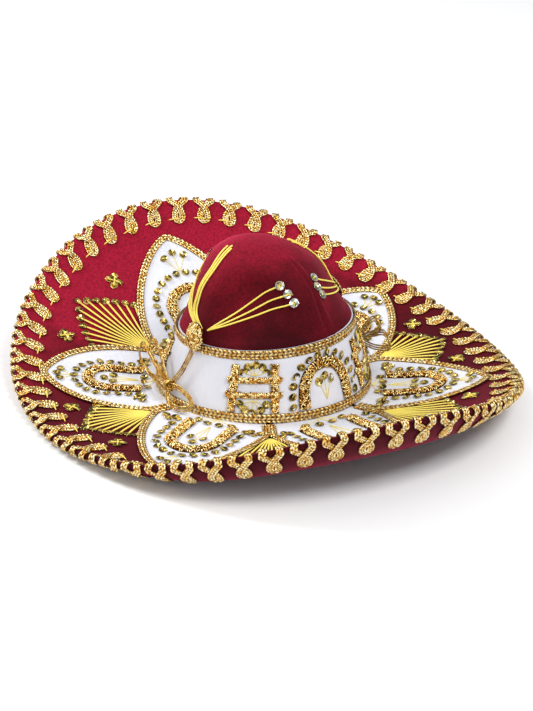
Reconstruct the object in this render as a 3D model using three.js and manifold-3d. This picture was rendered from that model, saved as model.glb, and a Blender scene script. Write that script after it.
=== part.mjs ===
// A charro sombrero: a wide oval brim rolled up at the sides, a dented crown, a satin band and
// six satin petals with gold braid, scroll work, thread fans and couched cord bows.
//
// Millimetres, +Z up. The hat rests on the flat ring of its brim round the head opening, in the
// plane z = 0. The wearer faces -Y, so +X is one ear and the head oval is longest along Y.
// Angles are measured from +X, counterclockwise seen from above.

import * as THREE from 'three';
import { mergeVertices } from 'three/addons/utils/BufferGeometryUtils.js';
import Module from 'manifold-3d';

const wasm = await Module();
wasm.setup();

const TURN = Math.PI * 2;
const DEGREE = Math.PI / 180;

// Head opening and brim
const HEAD_HALF_WIDTH = 93.3;
const HEAD_HALF_LENGTH = 102.8;
const RIM_RADIUS = 255.7;
const RIM_OVAL = 0.0845;
const RIM_OVAL_AXIS = 30 * DEGREE;
const ROLL_AXIS = 26 * DEGREE;
const RIM_MEAN_HEIGHT = 43;
const RIM_ROLL = 39;
const RIM_ROLL_SHARPNESS = 4.6;
const RIM_SIDE_TILT = 8.2;
const FLAT_SHARE = 0.05;
const RISE_POWER = 1.6;

// The edge turns up steeply along one side
const LIP_HEIGHT = 30;
const LIP_POWER = 12;
const LIP_AXIS = 15 * DEGREE;
const LIP_HALF_ANGLE = 46 * DEGREE;

// Layers of the brim, as heights above its lower face
const GAP = 0.3;
const VELVET = 1;
const BOARD = 2.5;
const BOARD_LOW = VELVET + GAP;
const TOP_VELVET_LOW = BOARD_LOW + BOARD + GAP;
const BRIM_TOP = TOP_VELVET_LOW + VELVET;
const TRIM_CLEARANCE = 1.1;
const OPENING_INSET = 5;
const WIRE_DIAMETER = 2.2;
const WIRE_INSET = 2.4;
const WIRE_SIDES = 4;
const BRAID_ROWS = 4;
const BRAID_THICKNESS = 1.6;

// Crown and band
const CROWN_BASE = BRIM_TOP + GAP;
const CROWN_OUTLINE = [
  [1, CROWN_BASE], [0.91, 36], [0.848, 60], [0.78, 82], [0.73, 102], [0.665, 122], [0.52, 138],
  [0.35, 150], [0.18, 156.5], [0, 158],
];
const CROWN_TILT = 0.0009;
const CROWN_SHIFT = 0.03;
const SHOULDER = 76;
const SHOULDER_LEAN = 0.1;
const SHOULDER_TILT = 0.0027;
const DENT_FIRST = -6 * DEGREE;
const DENT_DEPTHS = [18, 9, 18, 9];
const DENT_HALF_ANGLE = 31 * DEGREE;
const DENT_HEIGHT = 120;
const DENT_ABOVE = 17;
const DENT_BELOW = 27;
const LINING = 0.8;
const SWEATBAND = 1.2;
const SWEATBAND_TOP = 34;
const BAND_LOW = 7.4;
const BAND_TOP = 75;
const BAND_TAPER = 0.198;
const BAND_THICKNESS = 1.2;
const BAND_TRIM_WIDTH = 9;
const BAND_TRIM_THICKNESS = 2;

// Petals, fans and flowers of the brim
const PETAL_AXES = [33, 86, 147, 207, 272, 336].map((degrees) => degrees * DEGREE);
const PETAL_SEAM = 1.5 * DEGREE;
const PETAL_START = 0.008;
const PETAL_SHOULDER = 0.19;
const PETAL_TIP = 0.81;
const PETAL_LOW = BRIM_TOP + TRIM_CLEARANCE;
const PETAL_THICKNESS = 0.8;
const TRIM_LOW = PETAL_LOW + PETAL_THICKNESS + TRIM_CLEARANCE;
const TRIM_WIDTH = 5;
const TRIM_THICKNESS = 1.8;
const SCROLL_WIDTH = 10;
const SCROLL_HEIGHT = 4;
const SCROLL_LIFT = 0.2;
const FAN_APEX = 0.2;
const FAN_SIDE = 0.52;
const FAN_FAR = 0.75;
const FAN_HALF_ANGLE = 12 * DEGREE;
const FAN_THICKNESS = 0.9;

// Cord ornaments at the ends of the head's long axis
const BOW_ANGLES = [-60 * DEGREE, 120 * DEGREE];
const BOW_SIDES = ['front', 'back'];
const MEDALLION_TURN = 10 * DEGREE;
const CORD_DIAMETER = 2.4;
const THREAD_DIAMETER = 1.4;

// How finely the faces are divided
const BRIM_COLUMNS = 48;
const BRIM_ROWS = [0, FLAT_SHARE, 0.25, 0.45, 0.62, 0.75, 0.84, 0.92, 0.97, 1];
const CROWN_COLUMNS = 36;
const CROWN_ROWS = 10;
const BAND_COLUMNS = 36;

const hat = new THREE.Group();

const MATERIALS = {
  velvet: new THREE.MeshStandardMaterial({ color: 0x8a1230, roughness: 0.9, metalness: 0 }),
  satin: new THREE.MeshStandardMaterial({ color: 0xeeeef5, roughness: 0.45, metalness: 0 }),
  gold: new THREE.MeshStandardMaterial({ color: 0xd6a53c, roughness: 0.35, metalness: 0.8 }),
  thread: new THREE.MeshStandardMaterial({ color: 0xf6dc5a, roughness: 0.5, metalness: 0.1 }),
  board: new THREE.MeshStandardMaterial({ color: 0x4a3a34, roughness: 0.95, metalness: 0 }),
  lining: new THREE.MeshStandardMaterial({ color: 0x5d0f22, roughness: 0.6, metalness: 0 }),
  leather: new THREE.MeshStandardMaterial({ color: 0x2b1a14, roughness: 0.6, metalness: 0 }),
  steel: new THREE.MeshStandardMaterial({ color: 0x9a9da0, roughness: 0.4, metalness: 1 }),
};

function addPiece(name, geometry, material) {
  const piece = new THREE.Mesh(geometry, MATERIALS[material]);
  piece.name = name;
  hat.add(piece);
}

// ---- Surfaces of the hat ------------------------------------------------------------------

function headRadius(angle) {
  const across = HEAD_HALF_LENGTH * Math.cos(angle);
  const along = HEAD_HALF_WIDTH * Math.sin(angle);
  return (HEAD_HALF_WIDTH * HEAD_HALF_LENGTH) / Math.hypot(across, along);
}

function rimRadius(angle) {
  return RIM_RADIUS * (1 + RIM_OVAL * Math.cos(2 * (angle - RIM_OVAL_AXIS)));
}

function rimHeight(angle) {
  const roll = RIM_ROLL * Math.cos(2 * (angle - ROLL_AXIS));
  const sharpness = RIM_ROLL_SHARPNESS * Math.cos(4 * (angle - ROLL_AXIS));
  return RIM_MEAN_HEIGHT + roll + sharpness - RIM_SIDE_TILT * Math.cos(angle);
}

function between(first, second) {
  return Math.atan2(Math.sin(first - second), Math.cos(first - second));
}

function lipHeight(angle) {
  return LIP_HEIGHT * Math.exp(-((between(angle, LIP_AXIS) / LIP_HALF_ANGLE) ** 4));
}

// A point of the brim's lower face: share runs from 0 at the head opening to 1 at the rim.
function brimBase(angle, share) {
  const radius = headRadius(angle) + (rimRadius(angle) - headRadius(angle)) * share;
  const climb = Math.max(0, (share - FLAT_SHARE) / (1 - FLAT_SHARE));
  const lip = lipHeight(angle);
  const height = (rimHeight(angle) - lip) * climb ** RISE_POWER + lip * climb ** LIP_POWER;
  return new THREE.Vector3(radius * Math.cos(angle), radius * Math.sin(angle), height);
}

// The outward normal of a surface given as a function of two parameters.
function surfaceNormal(surface, first, second, step) {
  const alongFirst = surface(first + step, second).sub(surface(first - step, second));
  const alongSecond = surface(first, second + step).sub(surface(first, second - step));
  return alongFirst.cross(alongSecond).normalize();
}

function brimPoint(angle, share, height) {
  const normal = surfaceNormal(brimBase, angle, share, 0.002).negate();
  if (share <= FLAT_SHARE) normal.set(0, 0, 1);
  return brimBase(angle, share).addScaledVector(normal, height);
}

// A point above the brim at a place given in plan.
function brimPointAt(x, y, height) {
  const angle = Math.atan2(y, x);
  const inner = headRadius(angle);
  const share = (Math.hypot(x, y) - inner) / (rimRadius(angle) - inner);
  return brimPoint(angle, share, height);
}

const crownOutline = new THREE.SplineCurve(CROWN_OUTLINE.map(([scale, z]) => new THREE.Vector2(scale, z)));

// The crown and all that is on it sits a little askew: up to its shoulder it rises and moves
// towards the back, and its top leans to the front.
function tilt(point) {
  const above = Math.max(0, point.z - SHOULDER);
  const shift = CROWN_SHIFT * (point.z - CROWN_BASE) - SHOULDER_LEAN * above;
  const slope = CROWN_TILT * (point.z - CROWN_BASE) - SHOULDER_TILT * above;
  return new THREE.Vector3(point.x, point.y + shift, point.z + slope * point.y);
}

// How deep the dents of the crown's sides are: each has a crisp upper edge and fades downwards.
function dent(angle, height) {
  const spread = height > DENT_HEIGHT ? DENT_ABOVE : DENT_BELOW;
  const above = (height - DENT_HEIGHT) / spread;
  let depth = 0;
  for (const [index, deepest] of DENT_DEPTHS.entries()) {
    const centre = DENT_FIRST + (index * TURN) / DENT_DEPTHS.length;
    const away = Math.abs(between(angle, centre)) / DENT_HALF_ANGLE;
    depth += deepest * Math.exp(-(away ** 3) - above * above);
  }
  return depth;
}

// A point of the crown's outer face: climb runs from 0 at its base to 1 at its top.
function crownBase(angle, climb) {
  const outline = crownOutline.getPoint(THREE.MathUtils.clamp(climb, 0, 1));
  const radius = Math.max(0, outline.x) * headRadius(angle);
  const dented = Math.max(radius * 0.35, radius - dent(angle, outline.y));
  return tilt(new THREE.Vector3(dented * Math.cos(angle), dented * Math.sin(angle), outline.y));
}

function crownPoint(angle, climb, height) {
  if (climb >= 1) return crownBase(angle, 1).add(new THREE.Vector3(0, 0, height));
  const sampled = THREE.MathUtils.clamp(climb, 0.01, 0.99);
  const normal = surfaceNormal(crownBase, angle, sampled, 0.004);
  if (climb <= 0) normal.setZ(0).normalize();
  return crownBase(angle, climb).addScaledVector(normal, height);
}

// A point outside the band's inner face at a given height.
function bandPoint(angle, z, offset) {
  const share = (z - BAND_LOW) / (BAND_TOP - BAND_LOW);
  const radius = headRadius(angle) * (1 - BAND_TAPER * share) + 1 + offset;
  return tilt(new THREE.Vector3(radius * Math.cos(angle), radius * Math.sin(angle), z));
}

// ---- Closed bodies ------------------------------------------------------------------------

function signedVolume(geometry) {
  const corners = geometry.getIndex().array;
  const [a, b, c] = [new THREE.Vector3(), new THREE.Vector3(), new THREE.Vector3()];
  let volume = 0;
  for (let start = 0; start < corners.length; start += 3) {
    a.fromBufferAttribute(geometry.attributes.position, corners[start]);
    b.fromBufferAttribute(geometry.attributes.position, corners[start + 1]);
    c.fromBufferAttribute(geometry.attributes.position, corners[start + 2]);
    volume += a.dot(b.cross(c)) / 6;
  }
  return volume;
}

function bodyFromQuads(points, quads) {
  const positions = [];
  for (const [a, b, c, d] of quads) {
    for (const corner of [a, b, c, a, c, d]) positions.push(...points[corner]);
  }
  const soup = new THREE.BufferGeometry();
  soup.setAttribute('position', new THREE.Float32BufferAttribute(positions, 3));
  const merged = mergeVertices(soup, 1e-3);
  const index = merged.getIndex().array;
  const kept = [];
  for (let start = 0; start < index.length; start += 3) {
    const [a, b, c] = index.subarray(start, start + 3);
    if (a !== b && b !== c && a !== c) kept.push(a, b, c);
  }
  merged.setIndex(kept);
  if (signedVolume(merged) < 0) merged.setIndex(kept.reverse());
  merged.computeVertexNormals();
  return merged;
}

// A thin body between two faces. Both faces are grids of the same size; point(column, row, side)
// gives a grid point, with side 0 on the lower face and 1 on the upper. A ring closes on itself.
function thinBody(columns, rows, ring, point) {
  const points = [];
  const across = ring ? columns : columns + 1;
  const place = (column, row, side) => ((column % across) * (rows + 1) + row) * 2 + side;
  for (let column = 0; column < across; column += 1) {
    for (let row = 0; row <= rows; row += 1) {
      points.push(point(column, row, 0).toArray(), point(column, row, 1).toArray());
    }
  }
  const quads = [];
  for (let column = 0; column < columns; column += 1) {
    const next = column + 1;
    for (let row = 0; row < rows; row += 1) {
      const above = row + 1;
      const upper = [[column, row], [column, above], [next, above], [next, row]];
      const lower = [[column, row], [next, row], [next, above], [column, above]];
      quads.push(upper.map(([atColumn, atRow]) => place(atColumn, atRow, 1)));
      quads.push(lower.map(([atColumn, atRow]) => place(atColumn, atRow, 0)));
    }
    quads.push([place(column, 0, 0), place(column, 0, 1), place(next, 0, 1), place(next, 0, 0)]);
    quads.push([place(column, rows, 1), place(column, rows, 0), place(next, rows, 0), place(next, rows, 1)]);
  }
  if (!ring) {
    for (let row = 0; row < rows; row += 1) {
      const above = row + 1;
      quads.push([place(0, row, 0), place(0, above, 0), place(0, above, 1), place(0, row, 1)]);
      quads.push([
        place(columns, row, 1), place(columns, above, 1), place(columns, above, 0), place(columns, row, 0),
      ]);
    }
  }
  return bodyFromQuads(points, quads);
}

// A closed section swept round the hat: section(angle) gives its corners, counterclockwise seen
// with the outside of the hat on the right.
function ringBody(columns, section) {
  const points = [];
  const corners = section(0).length;
  for (let column = 0; column < columns; column += 1) {
    for (const corner of section((column / columns) * TURN)) points.push(corner.toArray());
  }
  const quads = [];
  for (let column = 0; column < columns; column += 1) {
    const here = column * corners;
    const next = ((column + 1) % columns) * corners;
    for (let corner = 0; corner < corners; corner += 1) {
      const after = (corner + 1) % corners;
      quads.push([here + corner, next + corner, next + after, here + after]);
    }
  }
  return bodyFromQuads(points, quads);
}

function roundTube(points, diameter, steps, sides = 4) {
  const outline = new THREE.Shape();
  outline.absarc(0, 0, diameter / 2, 0, TURN, false);
  const path = new THREE.CatmullRomCurve3(points);
  const settings = { steps, curveSegments: sides, bevelEnabled: false, extrudePath: path };
  return new THREE.ExtrudeGeometry(outline, settings);
}

function toManifold(geometry) {
  const bare = geometry.clone();
  bare.deleteAttribute('normal');
  bare.deleteAttribute('uv');
  const merged = mergeVertices(bare, 1e-3);
  const mesh = new wasm.Mesh({
    numProp: 3,
    vertProperties: new Float32Array(merged.attributes.position.array),
    triVerts: new Uint32Array(merged.getIndex().array),
  });
  return new wasm.Manifold(mesh);
}

function joined(geometries) {
  const whole = geometries.map(toManifold).reduce((sum, next) => sum.add(next));
  const mesh = whole.getMesh();
  const geometry = new THREE.BufferGeometry();
  geometry.setAttribute('position', new THREE.Float32BufferAttribute(mesh.vertProperties, 3));
  geometry.setIndex(Array.from(mesh.triVerts));
  geometry.computeVertexNormals();
  return geometry;
}

// ---- Brim ---------------------------------------------------------------------------------

function brimLayer(low, high, rimInset) {
  const angleAt = (column) => (column / BRIM_COLUMNS) * TURN;
  return thinBody(BRIM_COLUMNS, BRIM_ROWS.length - 1, true, (column, row, side) => {
    const angle = angleAt(column);
    const width = rimRadius(angle) - headRadius(angle);
    const start = -OPENING_INSET / width;
    const end = 1 - rimInset / width;
    const share = row === 0 ? start : Math.min(BRIM_ROWS[row], end);
    return brimPoint(angle, share, side === 0 ? low : high);
  });
}

function rimShare(angle, inset) {
  return 1 - inset / (rimRadius(angle) - headRadius(angle));
}

function rimWire() {
  const middle = BOARD_LOW + BOARD / 2;
  return ringBody(BRIM_COLUMNS, (angle) => {
    const share = rimShare(angle, WIRE_INSET);
    const centre = brimPoint(angle, share, middle);
    const outward = brimPoint(angle, share + 0.01, middle).sub(centre).normalize();
    const upward = brimPoint(angle, share, middle + 1).sub(centre);
    const corners = [];
    for (let side = 0; side < WIRE_SIDES; side += 1) {
      const turn = (side / WIRE_SIDES) * TURN;
      const corner = centre.clone().addScaledVector(outward, (Math.cos(turn) * WIRE_DIAMETER) / 2);
      corners.push(corner.addScaledVector(upward, (Math.sin(turn) * WIRE_DIAMETER) / 2));
    }
    return corners;
  });
}

// The braid is folded over the edge: one leg lies above the brim, the other below it.
function rimBraid() {
  const under = -TRIM_CLEARANCE;
  const over = BRIM_TOP + TRIM_CLEARANCE;
  const reach = 1.2;
  const inwards = BRIM_ROWS.slice(-BRAID_ROWS).reverse();
  return ringBody(BRIM_COLUMNS, (angle) => {
    const outward = brimPoint(angle, 1, 0).sub(brimPoint(angle, 0.98, 0)).normalize();
    const leg = (height, outset) => inwards.map((share) => {
      const corner = brimPoint(angle, share, height);
      return share === 1 ? corner.addScaledVector(outward, outset) : corner;
    });
    return [
      ...leg(under - BRAID_THICKNESS, reach + BRAID_THICKNESS).reverse(),
      ...leg(over + BRAID_THICKNESS, reach + BRAID_THICKNESS),
      ...leg(over, reach).reverse(),
      ...leg(under, reach),
    ];
  });
}

addPiece('brim_under_velvet', brimLayer(0, VELVET, 0), 'velvet');
addPiece('brim_board', brimLayer(BOARD_LOW, BOARD_LOW + BOARD, 2 * WIRE_INSET), 'board');
addPiece('brim_top_velvet', brimLayer(TOP_VELVET_LOW, BRIM_TOP, 0), 'velvet');
addPiece('rim_wire', rimWire(), 'steel');
addPiece('rim_braid', rimBraid(), 'gold');

// ---- Crown --------------------------------------------------------------------------------

// A shell of the crown, over all of its climb or a part of it.
function crownShell(outerInset, thickness, start = 0, end = 1) {
  const first = Math.floor(start * CROWN_ROWS);
  const last = Math.ceil(end * CROWN_ROWS);
  return thinBody(CROWN_COLUMNS, last - first, true, (column, row, side) => {
    const climb = THREE.MathUtils.clamp((first + row) / CROWN_ROWS, start, end);
    const height = side === 0 ? -outerInset - thickness : -outerInset;
    return crownPoint((column / CROWN_COLUMNS) * TURN, climb, height);
  });
}

function sweatband() {
  const low = 1;
  const lowInset = 5.6;
  const slope = 10;
  return thinBody(CROWN_COLUMNS, 2, true, (column, row, side) => {
    const angle = (column / CROWN_COLUMNS) * TURN;
    const z = low + ((SWEATBAND_TOP - low) * row) / 2;
    const outer = headRadius(angle) - lowInset - (slope * row) / 2;
    const radius = side === 0 ? outer - SWEATBAND : outer;
    return tilt(new THREE.Vector3(radius * Math.cos(angle), radius * Math.sin(angle), z));
  });
}

const CROWN_BOARD_INSET = VELVET + GAP;
const CROWN_BOARD = BOARD - 0.5;
const LINING_INSET = CROWN_BOARD_INSET + CROWN_BOARD + GAP;
const BOARD_SEAM = 0.4;
const BOARD_SEAM_GAP = 0.003;

function crownBoard(start, end) {
  return crownShell(CROWN_BOARD_INSET, CROWN_BOARD, start, end);
}

addPiece('crown_velvet', crownShell(0, VELVET), 'velvet');
addPiece('crown_side_board', crownBoard(0, BOARD_SEAM - BOARD_SEAM_GAP), 'board');
addPiece('crown_tip_board', crownBoard(BOARD_SEAM + BOARD_SEAM_GAP, 1), 'board');
addPiece('crown_lining', crownShell(LINING_INSET, LINING), 'lining');
addPiece('sweatband', sweatband(), 'leather');

// ---- Band ---------------------------------------------------------------------------------

function bandStrip(lowZ, highZ, lowOffset, thickness) {
  return thinBody(BAND_COLUMNS, 1, true, (column, row, side) => {
    const z = row === 0 ? lowZ : highZ;
    return bandPoint((column / BAND_COLUMNS) * TURN, z, lowOffset + side * thickness);
  });
}

const TRIM_OFFSET = BAND_THICKNESS + GAP;
addPiece('hat_band', bandStrip(BAND_LOW, BAND_TOP, 0, BAND_THICKNESS), 'satin');
addPiece(
  'band_trim_lower',
  bandStrip(BAND_LOW + GAP, BAND_LOW + BAND_TRIM_WIDTH, TRIM_OFFSET, BAND_TRIM_THICKNESS),
  'gold',
);
addPiece(
  'band_trim_upper',
  bandStrip(BAND_TOP - BAND_TRIM_WIDTH, BAND_TOP + 1, TRIM_OFFSET, BAND_TRIM_THICKNESS),
  'gold',
);

// Raised gold work on the band: arches and ladders of two uprights and two rails, turn about.
const BAND_WORK_LOW = 19;
const BAND_WORK_HIGH = 62;
const BAND_WORK_OFFSET = BAND_THICKNESS + 4;
const BAND_WORK_DIAMETER = 5;
const ARCH_HALF_ANGLE = 18 * DEGREE;
const LADDER_HALF_ANGLE = 13 * DEGREE;
const RAIL_HALF_ANGLE = 17 * DEGREE;
const RAIL_HALF_SPACING = 7;
const LADDER_PLACES = [-5 * DEGREE, 84 * DEGREE];
const ARCH_PLACE = 41 * DEGREE;

function bandArch(centre) {
  const points = [];
  for (let step = 0; step <= 10; step += 1) {
    const turn = (step / 10) * Math.PI;
    const angle = centre - ARCH_HALF_ANGLE * Math.cos(turn);
    const z = BAND_WORK_LOW + (BAND_WORK_HIGH - BAND_WORK_LOW) * Math.sin(turn) ** 0.6;
    points.push(bandPoint(angle, z, BAND_WORK_OFFSET));
  }
  return roundTube(points, BAND_WORK_DIAMETER, 10);
}

function bandLadder(centre) {
  const uprights = [-LADDER_HALF_ANGLE, LADDER_HALF_ANGLE].map((turn) => {
    const ends = [BAND_WORK_LOW, BAND_WORK_HIGH].map((z) => bandPoint(centre + turn, z, BAND_WORK_OFFSET));
    return roundTube(ends, BAND_WORK_DIAMETER, 1);
  });
  const middle = (BAND_WORK_LOW + BAND_WORK_HIGH) / 2;
  const rails = [middle - RAIL_HALF_SPACING, middle + RAIL_HALF_SPACING].map((z) => {
    const points = [];
    for (const share of [-1, -0.33, 0.33, 1]) {
      points.push(bandPoint(centre + share * RAIL_HALF_ANGLE, z, BAND_WORK_OFFSET));
    }
    return roundTube(points, BAND_WORK_DIAMETER, 3);
  });
  return joined([...uprights, ...rails]);
}

for (let half = 0; half < 2; half += 1) {
  const turn = (half * TURN) / 2;
  addPiece(`band_arch_${half + 1}`, bandArch(ARCH_PLACE + turn), 'gold');
  addPiece(`band_ladder_${half + 1}`, bandLadder(LADDER_PLACES[0] + turn), 'gold');
  addPiece(`band_ladder_${half + 3}`, bandLadder(LADDER_PLACES[1] + turn), 'gold');
}

// ---- Petals, their trim and scroll work ---------------------------------------------------

// The angle halfway from a petal's axis to the next petal's.
function seamAfter(index) {
  const gap = between(PETAL_AXES[(index + 1) % PETAL_AXES.length], PETAL_AXES[index]);
  return PETAL_AXES[index] + gap / 2;
}

// The angle of a petal's edge at a share of the brim's width. The edges start beside the seams
// between the petals, and meet at the tip: side is -1 for the first edge and 1 for the second.
function petalEdge(index, share, side) {
  const axis = PETAL_AXES[index];
  const seam = side < 0 ? seamAfter((index + PETAL_AXES.length - 1) % PETAL_AXES.length) : seamAfter(index);
  const spread = between(seam, axis) - side * PETAL_SEAM;
  const beyond = Math.max(0, (share - PETAL_SHOULDER) / (PETAL_TIP - PETAL_SHOULDER));
  return axis + spread * Math.max(0, 1 - beyond ** 0.95) ** 0.75;
}

// Shares from a petal's base to its tip, closer together where the tip rounds off.
function petalShare(row, rows) {
  const left = 1 - row / rows;
  return PETAL_START + (PETAL_TIP - PETAL_START) * (1 - left ** 1.7);
}

function petal(index) {
  const columns = 4;
  const rows = 7;
  return thinBody(columns, rows, false, (column, row, side) => {
    const share = petalShare(row, rows);
    const across = (2 * column) / columns - 1;
    const edge = petalEdge(index, share, Math.sign(across));
    const angle = PETAL_AXES[index] + between(edge, PETAL_AXES[index]) * Math.abs(across);
    return brimPoint(angle, share, PETAL_LOW + side * PETAL_THICKNESS);
  });
}

// A flat strip that follows a path on the brim.
function brimStrip(path, width, low, thickness) {
  const last = path.length - 1;
  return thinBody(last, 1, false, (column, row, side) => {
    const [x, y] = path[column];
    const before = path[Math.max(0, column - 1)];
    const after = path[Math.min(last, column + 1)];
    const length = Math.hypot(after[0] - before[0], after[1] - before[1]);
    const reach = row === 0 ? width / 2 : -width / 2;
    const offsetX = (-(after[1] - before[1]) / length) * reach;
    const offsetY = ((after[0] - before[0]) / length) * reach;
    return brimPointAt(x + offsetX, y + offsetY, low + side * thickness);
  });
}

function planPoint(angle, share) {
  const radius = headRadius(angle) + (rimRadius(angle) - headRadius(angle)) * share;
  return [radius * Math.cos(angle), radius * Math.sin(angle)];
}

function petalTrim(index) {
  const rows = 10;
  const start = 1;
  const path = [];
  for (let row = start; row < rows; row += 1) {
    const share = petalShare(row, rows);
    path.push(planPoint(petalEdge(index, share, -1), share));
  }
  path.push(planPoint(PETAL_AXES[index], PETAL_TIP));
  for (let row = rows - 1; row >= start; row -= 1) {
    const share = petalShare(row, rows);
    path.push(planPoint(petalEdge(index, share, 1), share));
  }
  return brimStrip(path, TRIM_WIDTH, TRIM_LOW, TRIM_THICKNESS);
}

// A point of the plan, along and across a petal, as shares of the petal's length.
function petalPlan(axis, along, across) {
  const length = (rimRadius(axis) - headRadius(axis)) * PETAL_TIP;
  const reach = headRadius(axis) + length * along;
  const side = length * across;
  const x = reach * Math.cos(axis) - side * Math.sin(axis);
  const y = reach * Math.sin(axis) + side * Math.cos(axis);
  return [x, y];
}

// A horseshoe of bullion, open towards the crown.
function petalScroll(axis) {
  const halfWidth = 0.18;
  const legStart = 0.15;
  const bend = 0.44;
  const path = [];
  for (let step = 0; step < 3; step += 1) {
    path.push(petalPlan(axis, legStart + ((bend - legStart) * step) / 3, -halfWidth));
  }
  for (let step = 0; step <= 8; step += 1) {
    const turn = (step / 8) * Math.PI;
    path.push(petalPlan(axis, bend + halfWidth * Math.sin(turn), -halfWidth * Math.cos(turn)));
  }
  for (let step = 2; step >= 0; step -= 1) {
    path.push(petalPlan(axis, legStart + ((bend - legStart) * step) / 3, halfWidth));
  }
  return brimStrip(path, SCROLL_WIDTH, TRIM_LOW + SCROLL_LIFT, SCROLL_HEIGHT);
}

// A kite of laid threads between two petals, from a point near the band out to two edges.
function threadFan(axis) {
  const spokes = 6;
  const rows = 2;
  return thinBody(spokes, rows, false, (column, row, side) => {
    const turn = column / (spokes / 2) - 1;
    const farShare = FAN_FAR + (FAN_SIDE - FAN_FAR) * Math.abs(turn);
    const reach = 0.04 + (0.96 * row) / rows;
    const share = FAN_APEX + (farShare - FAN_APEX) * reach;
    const angle = axis + FAN_HALF_ANGLE * turn * reach;
    return brimPoint(angle, share, PETAL_LOW + side * FAN_THICKNESS);
  });
}

for (const [index, axis] of PETAL_AXES.entries()) {
  const number = index + 1;
  addPiece(`petal_${number}`, petal(index), 'satin');
  addPiece(`petal_trim_${number}`, petalTrim(index), 'gold');
  addPiece(`petal_scroll_${number}`, petalScroll(axis), 'gold');
  addPiece(`thread_fan_${number}`, threadFan(seamAfter(index)), 'thread');
}

// ---- Medallions, bows and threads of the crown --------------------------------------------

const MEDALLION_HEIGHT = 82;
const MEDALLION_OFFSET = 7;
const MEDALLION_HALF_WIDTH = 12;
const MEDALLION_HALF_HEIGHT = 14;
const MEDALLION_HALF_THICKNESS = 3;

// A flat oval dome that leans with the band below it.
function medallion(angle) {
  const dome = new THREE.SphereGeometry(1, 10, 6);
  dome.scale(MEDALLION_HALF_THICKNESS, MEDALLION_HALF_WIDTH, MEDALLION_HALF_HEIGHT);
  const centre = bandPoint(angle, MEDALLION_HEIGHT, MEDALLION_OFFSET);
  const upward = bandPoint(angle, MEDALLION_HEIGHT + 1, MEDALLION_OFFSET).sub(centre).normalize();
  const sideways = new THREE.Vector3(-Math.sin(angle), Math.cos(angle), 0);
  const outward = sideways.clone().cross(upward).normalize();
  dome.applyMatrix4(new THREE.Matrix4().makeBasis(outward, sideways, upward).setPosition(centre));
  return joined([dome]);
}

// A bow of stiff cord: a knot on the band, long loops raised to one side, and round loops below.
// Its points are given as degrees round the band from the knot, height and distance off the band.
const BOW_KNOT = [0, 28, 9];
const BOW_ROUTES = [
  [BOW_KNOT, [-14, 42, 17], [-26, 52, 26], [-31, 47, 30], [-27, 38, 27], [-14, 29, 16], BOW_KNOT],
  [BOW_KNOT, [-12, 50, 14], [-20, 62, 20], [-24, 60, 24], [-22, 52, 22], [-12, 40, 14], BOW_KNOT],
  [BOW_KNOT, [9, 30, 9], [18, 24, 9], [19, 16, 11], [12, 13, 13], [4, 17, 12], BOW_KNOT],
  [BOW_KNOT, [6, 46, 8], [9, 63, 7]],
];
const KNOT_HALF_SIZE = 6;

function bow(angle) {
  const place = ([turn, z, offset]) => bandPoint(angle + turn * DEGREE, z, offset);
  const knot = new THREE.SphereGeometry(KNOT_HALF_SIZE, 6, 4);
  const centre = place(BOW_KNOT);
  knot.translate(centre.x, centre.y, centre.z);
  const cords = BOW_ROUTES.map((route) => roundTube(route.map(place), CORD_DIAMETER, 10, 3));
  return joined([knot, ...cords]);
}

// Threads laid over the crown from under a medallion, where each group meets in a bead. A route's
// places are degrees from the medallion and shares of the crown's climb.
const THREAD_ROUTES = {
  sweep: [
    [[5, 0.36], [72, 0.61]],
    [[5, 0.36], [77, 0.56]],
    [[5, 0.36], [80, 0.515]],
  ],
  ridge: [
    [[0, 0.36], [-12, 0.43], [-11, 0.51], [-7, 0.66], [-13, 0.82]],
    [[0, 0.36], [-9, 0.43], [-8, 0.51], [-4, 0.66], [-7, 0.8]],
    [[0, 0.36], [-14, 0.43], [-13, 0.51], [-10, 0.66], [-20, 0.8]],
  ],
  return: [
    [[-5, 0.36], [-69, 0.61]],
    [[-5, 0.36], [-72, 0.56]],
    [[-5, 0.36], [-70, 0.51]],
  ],
};
const THREAD_LIFT = 3;
const THREAD_STEPS = 7;

// Places along a thread drawn tight between two others: in plan it runs straight.
function tightRoute([start, end]) {
  const centre = new THREE.Vector2();
  const plan = ([turn, climb]) => {
    return new THREE.Vector2(crownOutline.getPoint(climb).x, 0).rotateAround(centre, turn * DEGREE);
  };
  const places = [];
  for (let step = 0; step <= THREAD_STEPS; step += 1) {
    const share = step / THREAD_STEPS;
    const point = plan(start).lerp(plan(end), share);
    const turn = Math.atan2(point.y, point.x) / DEGREE;
    places.push(new THREE.Vector2(turn, start[1] + (end[1] - start[1]) * share));
  }
  return places;
}

function bentRoute(route) {
  const curve = new THREE.SplineCurve(route.map(([turn, climb]) => new THREE.Vector2(turn, climb)));
  return curve.getPoints(THREAD_STEPS);
}

function crownThreads(angle, routes) {
  const place = ({ x, y }) => crownPoint(angle + x * DEGREE, y, THREAD_LIFT);
  const threads = routes.map((route) => {
    const places = route.length === 2 ? tightRoute(route) : bentRoute(route);
    return roundTube(places.map(place), THREAD_DIAMETER, THREAD_STEPS, 3);
  });
  const bead = new THREE.SphereGeometry(THREAD_DIAMETER, 6, 4);
  const [turn, climb] = routes[0][0];
  const centre = place(new THREE.Vector2(turn, climb));
  bead.translate(centre.x, centre.y, centre.z);
  return joined([bead, ...threads]);
}

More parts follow.
